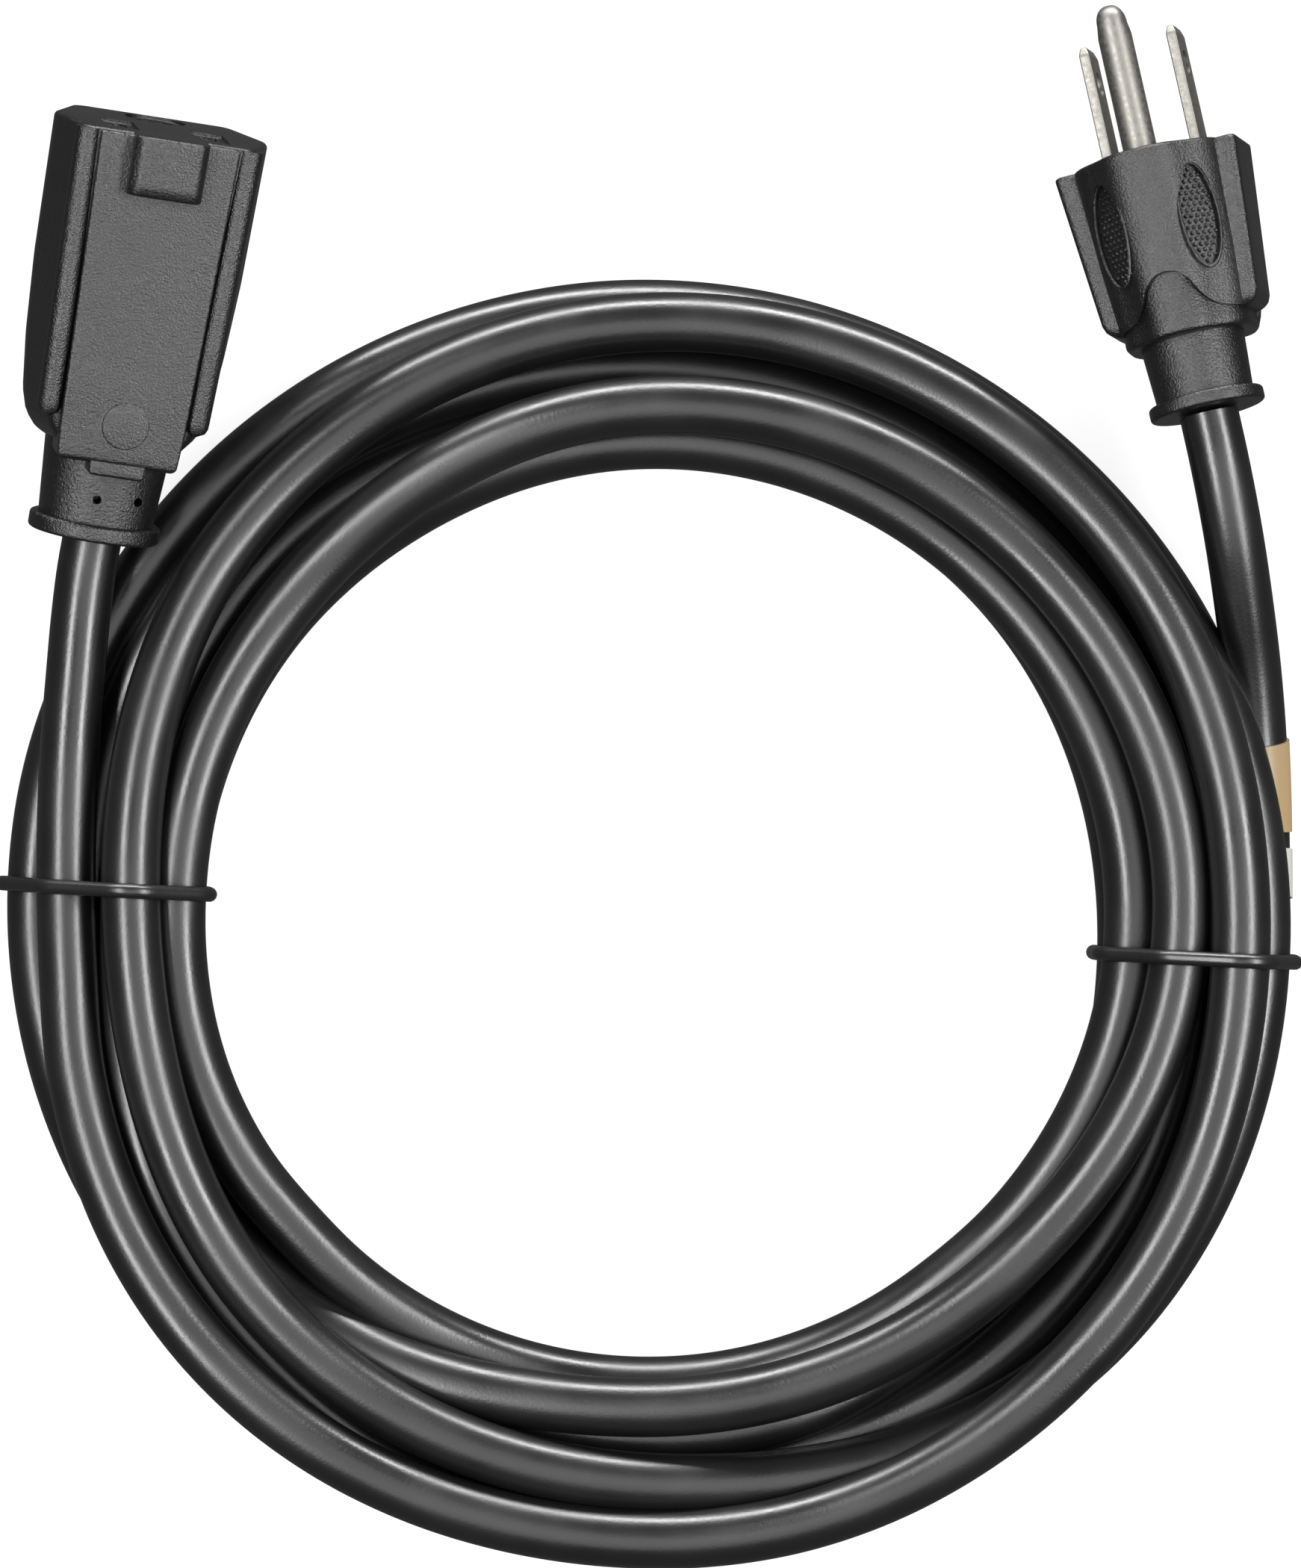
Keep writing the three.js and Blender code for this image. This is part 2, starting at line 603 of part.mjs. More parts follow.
function crossSlice(points, holes, thick) {
  const shape = new THREE.Shape(points);
  shape.holes = holes.map((hole) => new THREE.Path(hole));
  const slice = new THREE.ExtrudeGeometry(shape, { depth: thick, bevelEnabled: false });
  return slice.translate(0, 0, -thick / 2);
}

function tieLoop(tie) {
  const inside = bundleOutline({ ...DENTED, grow: GAP });
  const outside = bundleOutline({ ...DENTED, grow: GAP + TIE_WIRE });
  const bevel = TIE_BEVEL;
  const shape = new THREE.Shape(outside);
  shape.holes = [new THREE.Path(inside)];
  const loop = new THREE.ExtrudeGeometry(shape, {
    depth: TIE_WIRE - 2 * bevel,
    bevelThickness: bevel,
    bevelSize: bevel,
    bevelOffset: -bevel,
    bevelSegments: 1,
  });
  return atTie(loop.translate(0, 0, bevel - TIE_WIRE / 2), tie);
}

function tieGroove(tie) {
  const wide = TIE_WIRE + 2 * GAP;
  const around = bundleOutline({ ...COIL, low: -1, grow: 3 });
  return atTie(crossSlice(around, [bundleOutline(DENTED)], wide), tie);
}

function coil(leads) {
  const profile = bundleOutline(COIL);
  profile.push(profile[0].clone());
  const ring = solidOf(new THREE.LatheGeometry(profile, COIL_SEGMENTS).rotateX(Math.PI / 2));
  return geometryOf(cut(ring, ...TIES.map(tieGroove), ...leads));
}

function connectorPlace(group, { place, lean, pitch, roll }) {
  const turn = THREE.MathUtils.degToRad;
  group.position.set(...place);
  group.rotation.set(turn(pitch), turn(roll), turn(lean), "ZXY");
  return group;
}

// The room that the connector's collar, and the neck in front of it, take out of the bundle.
const COLLAR_ROOM = 8;
function collarTool() {
  const { length, radius, squash } = CONNECTOR_COLLAR;
  const wide = radius + 2 * GAP;
  const room = bar(wide, wide, -2 * GAP, length + COLLAR_ROOM, { squash, sides: 16 });
  const group = connectorPlace(new THREE.Group(), CONNECTOR_AT);
  group.updateMatrixWorld(true);
  return room.applyMatrix4(group.matrixWorld);
}

function cordAndTrim() {
  const group = new THREE.Group();
  const connectorLead = curveOf(CONNECTOR_LEAD);
  const plugLead = curveOf(PLUG_LEAD);
  // The groove for the plug's lead runs on past its end, so the end face is clear too.
  const grooveEnd = plugLead.getPointAt(1).add(plugLead.getTangentAt(1).multiplyScalar(GAP));
  const groove = curveOf([...PLUG_LEAD, grooveEnd.toArray()]);
  const ring = coil([
    tube(groove, PLUG_LEAD_GROOVE, 12),
    tube(connectorLead, CORD_RADIUS + 2 * GAP, 5),
    collarTool(),
  ]);
  group.add(pieceOf("cord_coil", ring, finishes.jacket()));
  group.add(pieceOf("connector_lead", tube(connectorLead, CORD_RADIUS, 4), finishes.jacket()));
  group.add(pieceOf("plug_lead", tube(plugLead, CORD_RADIUS, 8), finishes.jacket()));
  for (const tie of TIES) group.add(pieceOf(tie.name, tieLoop(tie), finishes.coated()));
  const wrap = ([from, to]) => {
    const bore = CORD_RADIUS + GAP;
    const film = tube(stretch(plugLead, [from, to]), bore + LABEL_THICK, 4);
    const longer = stretch(plugLead, [from - WRAP_OVERRUN, to + WRAP_OVERRUN], 7);
    return geometryOf(cut(solidOf(film), tube(longer, bore, 8)));
  };
  group.add(pieceOf("cord_label_sleeve", wrap(SLEEVE_SPAN), finishes.tanLabel()));
  group.add(pieceOf("cord_flag_tag", wrap(FLAG_SPAN), finishes.whiteLabel()));
  return group;
}

// --- The whole cord ----------------------------------------------------------------------------------

const extensionCord = new THREE.Group();
extensionCord.name = "extension_cord";
const laid = new THREE.Group();
laid.position.copy(COIL_CENTRE);
laid.add(cordAndTrim(), connectorPlace(connector(), CONNECTOR_AT), connectorPlace(plug(), PLUG_AT));
extensionCord.add(laid);

export default extensionCord;
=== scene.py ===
# %% [markdown]
# # A coiled extension cord
#
# The real thing is one long round cord, black soft PVC, with a plug moulded on one end and a three-hole
# connector on the other. It is wound flat, six and a half turns, and two coated wires tie the bundle.
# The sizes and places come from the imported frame: every CAD piece is already in it, in metres.
# This file makes the surfaces that a person sees, each from a formula worked out on whole numpy arrays.

import math

import bpy
import numpy as np
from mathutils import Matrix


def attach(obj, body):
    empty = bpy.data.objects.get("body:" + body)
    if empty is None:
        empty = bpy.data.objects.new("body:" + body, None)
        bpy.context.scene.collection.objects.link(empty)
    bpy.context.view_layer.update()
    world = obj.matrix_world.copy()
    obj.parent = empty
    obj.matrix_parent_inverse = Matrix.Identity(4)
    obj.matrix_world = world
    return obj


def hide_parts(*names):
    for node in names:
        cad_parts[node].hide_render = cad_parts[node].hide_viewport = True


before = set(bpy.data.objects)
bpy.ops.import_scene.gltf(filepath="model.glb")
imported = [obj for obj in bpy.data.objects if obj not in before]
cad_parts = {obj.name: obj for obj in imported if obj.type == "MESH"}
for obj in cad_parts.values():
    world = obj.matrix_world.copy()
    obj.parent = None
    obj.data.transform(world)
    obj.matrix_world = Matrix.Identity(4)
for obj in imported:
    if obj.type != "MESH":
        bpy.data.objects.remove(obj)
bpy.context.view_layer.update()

# %% [markdown]
# ## Units and the two small helpers
#
# The shapes are written in millimetres, because that is how such a part is drawn, and one factor turns
# them to metres. Colours are written as the sRGB hex values that a person would pick, and one function
# turns them to the linear values that a shader works with. Another adds a node with its settings and links.

# %% Units, colour and node helpers
MM = 0.001


def srgb(hex_text):
    """sRGB to linear: c / 12.92 below 0.04045, else ((c + 0.055) / 1.055) to the power 2.4."""
    parts = np.array([int(hex_text[i : i + 2], 16) for i in (0, 2, 4)]) / 255
    linear = np.where(parts <= 0.04045, parts / 12.92, ((parts + 0.055) / 1.055) ** 2.4)
    return (*linear.tolist(), 1.0)


def add_node(material, kind, settings=None, inputs=None, links=None):
    """Adds one node: settings are its properties, inputs its socket values, links its incoming wires."""
    node = material.node_tree.nodes.new(kind)
    for key, value in (settings or {}).items():
        setattr(node, key, value)
    for key, value in (inputs or {}).items():
        node.inputs[key].default_value = value
    for key, socket in (links or {}).items():
        material.node_tree.links.new(socket, node.inputs[key])
    return node


# %% [markdown]
# ## Camera
#
# The cord is seen from straight above, up along +Y, so that the coil reads as a true circle. A long lens from
# 1.75 m keeps the perspective low. The view is 218.75 mm high at the middle of the coil's height.

# %% Camera
VIEW_HEIGHT = 0.21875
VIEW_DISTANCE = 1.75
COIL_MIDDLE_Z = 0.013
COIL_CENTRE = np.array([0.4, -90.2, 0.0])  # middle of the coil, mm from the frame's origin
AIM = np.array([0.3, 19.6])  # what the camera looks at, mm from the middle of the coil
SENSOR = 24.0

camera_data = bpy.data.cameras.new("camera")
camera_data.sensor_fit = "VERTICAL"
camera_data.sensor_height = SENSOR
camera_data.lens = SENSOR * VIEW_DISTANCE / VIEW_HEIGHT
camera_data.clip_start = 0.05
camera_data.clip_end = 20
camera = bpy.data.objects.new("camera", camera_data)
bpy.context.scene.collection.objects.link(camera)
aim_x, aim_y = (COIL_CENTRE[:2] + AIM) * MM
camera.location = (aim_x, aim_y, COIL_MIDDLE_Z + VIEW_DISTANCE)
camera.rotation_euler = (0, 0, 0)
bpy.context.scene.camera = camera
print("camera at", tuple(round(v, 4) for v in camera.location), "lens", round(camera_data.lens, 1), "mm")

# %% [markdown]
# ## Meshes from arrays
#
# Every new surface is a grid of points: rows along a path, columns round it. Two helpers cover them all.
# One turns a grid into faces and closes it where it should close. The other adds the finished arrays to the
# scene as an object at the origin, with smooth shading and a material.


# %% Grid and mesh helpers
def grid_faces(rows, columns, wrap_rows=False, wrap_columns=True):
    """Quads between neighbours: point (i, j) is number i * columns + j, and the last meets the first."""
    i = np.arange(rows if wrap_rows else rows - 1)[:, None]
    j = np.arange(columns if wrap_columns else columns - 1)[None, :]
    i2, j2 = (i + 1) % rows, (j + 1) % columns
    quads = [i * columns + j, i * columns + j2, i2 * columns + j2, i2 * columns + j]
    return np.stack(np.broadcast_arrays(*quads), axis=-1).reshape(-1, 4)


def shell(points, wrap_rows=False, caps=True):
    """A closed surface from a grid (rows, columns, 3), its two ends shut by one flat face each."""
    rows, columns, _ = points.shape
    faces = grid_faces(rows, columns, wrap_rows).tolist()
    if caps and not wrap_rows:
        faces.append(list(range(columns))[::-1])
        faces.append(list(range((rows - 1) * columns, rows * columns)))
    return points.reshape(-1, 3), faces


def joined(*shells):
    """Several shells as one list of points and faces: each face's numbers move up by the points before."""
    points, faces, start = [], [], 0
    for own_points, own_faces in shells:
        points.append(own_points)
        faces += [[start + n for n in face] for face in own_faces]
        start += len(own_points)
    return np.concatenate(points), faces


def turned_out(mesh):
    """Faces pointing out: the signed volume, the sum of a . (b x c) / 6 over triangles, is above zero."""
    mesh.calc_loop_triangles()
    corners = np.empty(len(mesh.loop_triangles) * 3, dtype=np.int32)
    mesh.loop_triangles.foreach_get("vertices", corners)
    places = np.empty(len(mesh.vertices) * 3)
    mesh.vertices.foreach_get("co", places)
    a, b, c = np.moveaxis(places.reshape(-1, 3)[corners.reshape(-1, 3)], 1, 0)
    if np.einsum("ij,ij->i", a, np.cross(b, c)).sum() < 0:
        mesh.flip_normals()


def add_piece(name, shape, material, body="root", smooth_angle=35):
    """Adds points in mm, already in the frame's place, as an object in metres at the origin."""
    points, faces = shape
    mesh = bpy.data.meshes.new(name)
    mesh.from_pydata((points * MM).tolist(), [], faces)
    mesh.validate()
    turned_out(mesh)
    mesh.polygons.foreach_set("use_smooth", [True] * len(mesh.polygons))
    mesh.set_sharp_from_angle(angle=math.radians(smooth_angle))
    mesh.materials.append(material)
    piece = bpy.data.objects.new(name, mesh)
    bpy.context.scene.collection.objects.link(piece)
    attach(piece, body)
    print(name, len(mesh.vertices), "points", len(mesh.polygons), "faces")
    return piece


# %% [markdown]
# ## Black PVC
#
# The jacket is plasticised PVC pulled through a die. Carbon black makes it nearly black, the die leaves a
# satin gloss with fine lines along the cord, which this material leaves out, and cooling leaves a faint
# orange peel. Its IOR is 1.54.
# The moulded ends are the same plastic in a spark-eroded mould, so they are duller, with a coarse grain.


# %% Plastics
def plastic(name, colour, roughness, grain_mm, grain_depth, ior=1.5, uneven=0.06, detail=2.0):
    """Principled plastic: a noise of the grain's real size drives the bump and varies the roughness."""
    material = bpy.data.materials.new(name)
    material.use_nodes = True
    shader = material.node_tree.nodes["Principled BSDF"]
    shader.inputs["Base Color"].default_value = srgb(colour)
    shader.inputs["IOR"].default_value = ior
    place = add_node(material, "ShaderNodeTexCoord")
    grain = add_node(
        material,
        "ShaderNodeTexNoise",
        inputs={"Scale": 1 / (grain_mm * MM), "Detail": detail, "Roughness": 0.55},
        links={"Vector": place.outputs["Object"]},
    )
    bump = add_node(
        material,
        "ShaderNodeBump",
        inputs={"Strength": 1.0, "Distance": grain_depth * MM},
        links={"Height": grain.outputs["Fac"]},
    )
    patches = add_node(
        material,
        "ShaderNodeTexNoise",
        inputs={"Scale": 1 / (14 * MM), "Detail": 3.0},
        links={"Vector": place.outputs["Object"]},
    )
    spread = add_node(
        material,
        "ShaderNodeMapRange",
        inputs={"From Min": 0.3, "From Max": 0.7, "To Min": roughness - uneven, "To Max": roughness + uneven},
        links={"Value": patches.outputs["Fac"]},
    )
    links = material.node_tree.links
    links.new(bump.outputs["Normal"], shader.inputs["Normal"])
    links.new(spread.outputs["Result"], shader.inputs["Roughness"])
    return material


JACKET_PVC = plastic("extruded_black_pvc", "0A0A0B", 0.32, 0.45, 0.02, ior=1.54)
MOULDED_PVC = plastic("spark_textured_black_pvc", "070707", 0.3, 0.3, 0.15, ior=1.52, detail=3.0)
TIE_PVC = plastic("dipped_black_pvc_wire_coat", "0D0D0D", 0.32, 0.6, 0.02, ior=1.5)
print("plastics:", JACKET_PVC.name, MOULDED_PVC.name, TIE_PVC.name)

# %% [markdown]
# ## How the cord lies
#
# Six and a half turns lie in the bundle, so seven strands cross each side of it. A person winds a cord by
# laying each turn beside or on the last, and the turns swap places as they go round. The plan below is that
# winding, seen as a section every 45 degrees, going anticlockwise from the left side. Each strand has a
# distance from the coil's outer edge and a height, both counted in cord diameters. A spline runs the plan out
# to a smooth path, and a few rounds of relaxation then ease apart the strands that press into each other.

# %% The winding plan
CORD_DIAMETER = 8.3
COIL_OUTER = 89.7
ON_FLOOR = 0.5  # the height of a strand that lies on the floor, in diameters
TURNS_PLAN = [
    # Each turn: (distance, height) at the coil's left, lower left, bottom and lower right,
    # then at its right, upper right, top and upper left.
    [
        (1.12, 1.5), (0.53, 2.25), (0.56, 2.1), (0.61, 2.4),
        (0.9, 2.38), (0.62, 1.95), (0.68, 1.43), (1.24, 1.5),
    ],
    [
        (2.16, 2.05), (1.72, 2.14), (1.4, 1.96), (0.53, 1.46),
        (0.52, 1.46), (0.5, 0.9), (0.43, 0.5), (0.48, 0.5),
    ],
    [
        (0.5, 0.5), (0.86, 0.5), (1.7, 0.5), (1.5, 0.85),
        (1.6, 0.5), (1.5, 0.5), (1.45, 0.5), (1.2, 0.5),
    ],
    [
        (1.55, 0.5), (2.2, 1.0), (2.69, 1.9), (2.5, 2.2),
        (1.88, 2.1), (1.92, 2.1), (2.13, 2.1), (2.65, 1.48),
    ],
    [
        (2.82, 1.46), (2.93, 1.25), (2.99, 0.6), (2.93, 1.25),
        (2.66, 1.46), (2.6, 1.46), (2.6, 1.4), (2.58, 0.52),
    ],
    [
        (2.79, 0.5), (2.6, 0.5), (2.2, 1.1), (2.35, 0.5),
        (2.74, 0.5), (2.6, 0.5), (2.4, 0.5), (1.9, 0.5),
    ],
    [(2.0, 1.2), (1.22, 1.38), (0.5, 0.5), (0.56, 0.5), (0.51, 0.5)],
]
STATION_TURN = 1 / 8
TIE_LIFT = 2.45  # the ties' wire runs under the bundle and holds it off the surface

# The free stretches at the two ends, from the moulded ends into the coil, in mm from the coil's middle.
CONNECTOR_LEAD = [
    [-77.55, 54.1, 12.95],
    [-78.4, 49.4, 12.4],
    [-79.2, 43.0, 12.3],
    [-79.9, 35.0, 12.8],
    [-80.6, 26.0, 13.5],
]
PLUG_LEAD = [
    [77.96, 71.1, 18.16],
    [79.4, 64.5, 18.6],
    [81.3, 55.0, 17.0],
    [83.0, 45.0, 13.2],
    [84.4, 35.0, 9.0],
    [85.3, 25.0, 6.0],
    [85.7, 14.0, 5.0],
    [85.5, 3.0, 5.4],
]


# %% A smooth curve through chosen points
def spline(knots, values, at):
    """Cubic Hermite curve: each slope is the line between the neighbours, Catmull-Rom's rule."""
    knots, values = np.asarray(knots, float), np.asarray(values, float)
    slopes = np.gradient(values, knots, axis=0)
    k = np.clip(np.searchsorted(knots, at) - 1, 0, len(knots) - 2)
    span = (knots[k + 1] - knots[k])[:, None]
    t = (at - knots[k])[:, None] / span
    start = (1 + 2 * t) * (1 - t) ** 2 * values[k] + t * (1 - t) ** 2 * span * slopes[k]
    end = t**2 * (3 - 2 * t) * values[k + 1] + t**2 * (t - 1) * span * slopes[k + 1]
    return start + end


# %% Run the plan out and relax it
STEPS_PER_TURN = 240
CONTACT = 0.965  # two strands pressed together lie this far apart, in diameters

plan = np.array([station for row in TURNS_PLAN for station in row])
plan_turns = np.arange(len(plan)) * STATION_TURN
steps = int(round(plan_turns[-1] * STEPS_PER_TURN)) + 1
turn = np.arange(steps) / STEPS_PER_TURN
lay = spline(plan_turns, plan, turn)
lay[:, 1] = np.maximum(lay[:, 1], ON_FLOOR)

RELAX_ROUNDS = 3
PUSH_SHARE = 0.25  # how much of an overlap each of the two strands gives way in one round
OUTERMOST, INNERMOST = 0.42, 3.0
SMOOTH_STEPS = 16
window = np.hanning(2 * SMOOTH_STEPS + 1)
window /= window.sum()

for _ in range(RELAX_ROUNDS):
    push = np.zeros_like(lay)
    for apart in range(1, len(TURNS_PLAN)):
        # A strand and the one that passes the same place some turns later.
        here, later = lay[: steps - apart * STEPS_PER_TURN], lay[apart * STEPS_PER_TURN :]
        between = later - here
        distance = np.linalg.norm(between, axis=1, keepdims=True)
        short = np.maximum(CONTACT - distance, 0) / np.maximum(distance, 1e-6)
        push[: steps - apart * STEPS_PER_TURN] -= PUSH_SHARE * short * between
        push[apart * STEPS_PER_TURN :] += PUSH_SHARE * short * between
    padded = np.pad(push, ((SMOOTH_STEPS, SMOOTH_STEPS), (0, 0)), mode="edge")
    push = np.stack([np.convolve(padded[:, c], window, "valid") for c in (0, 1)], axis=1)
    lay = lay + push
    lay[:, 0] = np.clip(lay[:, 0], OUTERMOST, INNERMOST)
    lay[:, 1] = np.maximum(lay[:, 1], ON_FLOOR)

gaps = [
    np.linalg.norm(lay[a * STEPS_PER_TURN :] - lay[: steps - a * STEPS_PER_TURN], axis=1).min()
    for a in range(1, len(TURNS_PLAN))
]
print("closest strands, in diameters, by turns between them:", [round(float(g), 2) for g in gaps])

# %% [markdown]
# ## The cord as one tube
#
# The free ends and the turns become one line of points, from the connector's collar to the plug's. The tube
# is swept along it: at each point a circle stands square to the line, turned by the same rule everywhere, so
# that its first corner always points down.


# %% Centreline and tube
def sweep(path, radii, columns):
    """Points = centre + r (cos a * side + sin a * over), side level, over square to side and path."""
    tangent = np.gradient(path, axis=0)
    tangent /= np.linalg.norm(tangent, axis=1, keepdims=True)
    side = np.cross(tangent, [0.0, 0.0, 1.0])
    side /= np.linalg.norm(side, axis=1, keepdims=True)
    over = np.cross(side, tangent)
    angle = np.arange(columns) / columns * 2 * np.pi - np.pi / 2
    cosine, sine = np.cos(angle)[None, :, None], np.sin(angle)[None, :, None]
    ring = cosine * side[:, None, :] + sine * over[:, None, :]
    return path[:, None, :] + np.asarray(radii)[:, None, None] * ring


def resampled(path, step):
    """The same line with its points a fixed step apart, measured along it."""
    along = np.concatenate([[0], np.cumsum(np.linalg.norm(np.diff(path, axis=0), axis=1))])
    count = int(round(along[-1] / step)) + 1
    at = np.linspace(0, along[-1], count)
    return np.stack([np.interp(at, along, path[:, c]) for c in range(3)], axis=1)


def smooth_line(points, step):
    """A Catmull-Rom line through given points, its knots at their distances along the chords."""
    points = np.asarray(points, float)
    knots = np.concatenate([[0], np.cumsum(np.linalg.norm(np.diff(points, axis=0), axis=1))])
    fine = spline(knots, points, np.linspace(0, knots[-1], int(knots[-1] / step * 4) + 2))
    return resampled(fine, step)


LIFT_SPREAD = math.radians(30)  # how far round the coil a tie's lift is felt
LEFT_TIE_ANGLE, RIGHT_TIE_ANGLE = math.radians(177), math.radians(-3)

angle = math.pi + 2 * math.pi * turn
from_left = np.angle(np.exp(1j * (angle - LEFT_TIE_ANGLE)))
from_right = np.angle(np.exp(1j * (angle - RIGHT_TIE_ANGLE)))
near_ties = np.exp(-((from_left / LIFT_SPREAD) ** 2)) + np.exp(-((from_right / LIFT_SPREAD) ** 2))
lift = TIE_LIFT * near_ties
reach = COIL_OUTER - CORD_DIAMETER * lay[:, 0]
turns = np.stack([reach * np.cos(angle), reach * np.sin(angle), CORD_DIAMETER * lay[:, 1] + lift], axis=1)

# The turns give every sixth point only, so that the spline bends evenly where they meet the leads.
EVERY = 6
knots = np.vstack([CONNECTOR_LEAD, turns[EVERY // 2 :: EVERY], PLUG_LEAD[-2::-1]])
CORD_STEP = 1.5
centreline = smooth_line(knots, CORD_STEP)

CORD_COLUMNS = 28
cord_grid = sweep(centreline, np.full(len(centreline), CORD_DIAMETER / 2), CORD_COLUMNS)
cord = add_piece("extension_cord", shell(cord_grid + COIL_CENTRE), JACKET_PVC)
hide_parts("cord_coil", "connector_lead", "plug_lead")

# %% [markdown]
# ## The two ties
#
# Each tie is a loop of coated wire pulled tight round the bundle. A tight loop takes the shape of a rubber
# band: straight from strand to strand, round where it bends over one. That is the outline which the strands
# reach furthest in every direction, so it is worked out from their places in that section of the coil.


# %% Ties
TIE_WIRE = 2.1
TIE_PRESS = 0.45  # how far the wire sinks into the soft jacket
TIE_STEP, TIE_COLUMNS = 0.6, 14
TIE_MIDDLE = 13.5  # from the coil's outer edge to the middle of the bundle, mm
# Each tie: side, place of its middle along Y in mm, slope in degrees, angle round the coil.
TIES = {
    "left_tie": (-1, 5.0, -3.0, LEFT_TIE_ANGLE),
    "right_tie": (1, -4.6, -2.7, RIGHT_TIE_ANGLE),
}


def band_round(centres, radius, count=720):
    """For each direction n, the centre with the largest c . n, moved out along n by the radius."""
    angle = np.arange(count) / count * 2 * np.pi
    outward = np.stack([np.cos(angle), np.sin(angle)], axis=1)
    furthest = np.argmax(outward @ centres.T, axis=1)
    return centres[furthest] + radius * outward


def upright(path):
    """The direction square to a loop that lies in one plane."""
    across = np.cross(path[len(path) // 4] - path[0], path[len(path) // 2] - path[0])
    return across / np.linalg.norm(across)


def ring_tube(path, radius, columns, across):
    """Points = path + r (cos a * outward + sin a * across), round a loop in a plane square to across."""
    tangent = np.roll(path, -1, axis=0) - np.roll(path, 1, axis=0)
    tangent /= np.linalg.norm(tangent, axis=1, keepdims=True)
    outward = np.cross(tangent, across)
    angle = np.arange(columns) / columns * 2 * np.pi
    ring = np.cos(angle)[None, :, None] * outward[:, None, :] + np.sin(angle)[None, :, None] * across
    return path[:, None, :] + radius * ring


for name, (side, y, slope, at_angle) in TIES.items():
    # The winding starts at the left, so the right side is passed half a turn later.
    first = (at_angle - math.pi) / (2 * math.pi) + (1 if side > 0 else 0)
    passes = np.round((first + np.arange(len(TURNS_PLAN))) * STEPS_PER_TURN)
    where = np.clip(passes, 0, steps - 1).astype(int)
    strands = np.stack([side * reach[where], turns[where, 2]], axis=1)
    loop = band_round(strands, CORD_DIAMETER / 2 + TIE_WIRE / 2 - TIE_PRESS)
    flat_loop = np.column_stack([np.vstack([loop, loop[:1]]), np.zeros(len(loop) + 1)])
    loop = resampled(flat_loop, TIE_STEP)[:-1]
    from_middle = loop[:, 0] - side * (COIL_OUTER - TIE_MIDDLE)
    line = np.column_stack([loop[:, 0], y + from_middle * math.tan(math.radians(slope)), loop[:, 1]])
    tube = ring_tube(line, TIE_WIRE / 2, TIE_COLUMNS, upright(line)) + COIL_CENTRE
    tie = add_piece(name + "_wire", shell(tube, True), TIE_PVC)
    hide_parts(name)

# %% [markdown]
# ## Shapes of the moulded ends
#
# A moulded end is drawn like a maker's cavity: a section, and how it grows along the piece. Here a section is
# a ring of points in width and height. A loft carries it along the length with its own share of width and
# height at each step, and rounds both ends over. Where a mould part leaves a step, a bead or a hole, that
# is a loft of its own, added to the body or taken out of it.


# %% Sections and lofts
def rounded(corners, radius, steps_each=5):
    """Each corner C becomes the curve (1-t)^2 A + 2 t (1-t) C + t^2 B, A and B a radius away from it."""
    corners = np.asarray(corners, float)
    before, after = np.roll(corners, 1, axis=0) - corners, np.roll(corners, -1, axis=0) - corners
    size = np.stack([np.linalg.norm(before, axis=1), np.linalg.norm(after, axis=1)])
    reach_each = np.minimum(np.asarray(radius, float), 0.49 * size.min(axis=0))[:, None]
    a = corners + before / size[0][:, None] * reach_each
    b = corners + after / size[1][:, None] * reach_each
    t = np.linspace(0, 1, steps_each)[None, :, None]
    curve = (1 - t) ** 2 * a[:, None] + 2 * t * (1 - t) * corners[:, None] + t**2 * b[:, None]
    return curve.reshape(-1, 2)


def ellipse(half_width, half_height, columns=56):
    """An ellipse as a section: (a cos t, b sin t)."""
    angle = np.arange(columns) / columns * 2 * np.pi
    return np.stack([half_width * np.cos(angle), half_height * np.sin(angle)], axis=1)


def loft(
    section, start, end, widths=None, depths=None, round_start=0.6, round_end=0.6, centre=(0, 0), rows=24
):
    """Point = (centre x + x w(y) e, y, centre z + z d(y) e), with rounding e = 1 - r (1 - sin a) / half."""
    quarter = np.linspace(0, np.pi / 2, 6)
    rise, fall = 1 - np.cos(quarter), 1 - np.cos(quarter[::-1])
    near, far = 1 - np.sin(quarter), 1 - np.sin(quarter[::-1])
    middle = np.linspace(start + round_start, end - round_end, rows)[1:-1]
    y = np.concatenate([start + round_start * rise, middle, end - round_end * fall])
    inset = np.concatenate([round_start * near, np.zeros(len(middle)), round_end * far])
    wide = np.interp(y, *np.transpose(widths)) if widths is not None else np.ones_like(y)
    deep = np.interp(y, *np.transpose(depths)) if depths is not None else np.ones_like(y)
    half = np.abs(section).max(axis=0)
    x = section[None, :, 0] * (wide * (1 - inset / (half[0] * wide)))[:, None] + centre[0]
    z = section[None, :, 1] * (deep * (1 - inset / (half[1] * deep)))[:, None] + centre[1]
    return np.stack([x, np.broadcast_to(y[:, None], x.shape), z], axis=2)


def raised(rows_of_section, low, high):
    """A section standing on a base: heights between low and high, for pieces that sit on a face."""
    return rows_of_section * np.array([1.0, high - low]) + np.array([0.0, low])


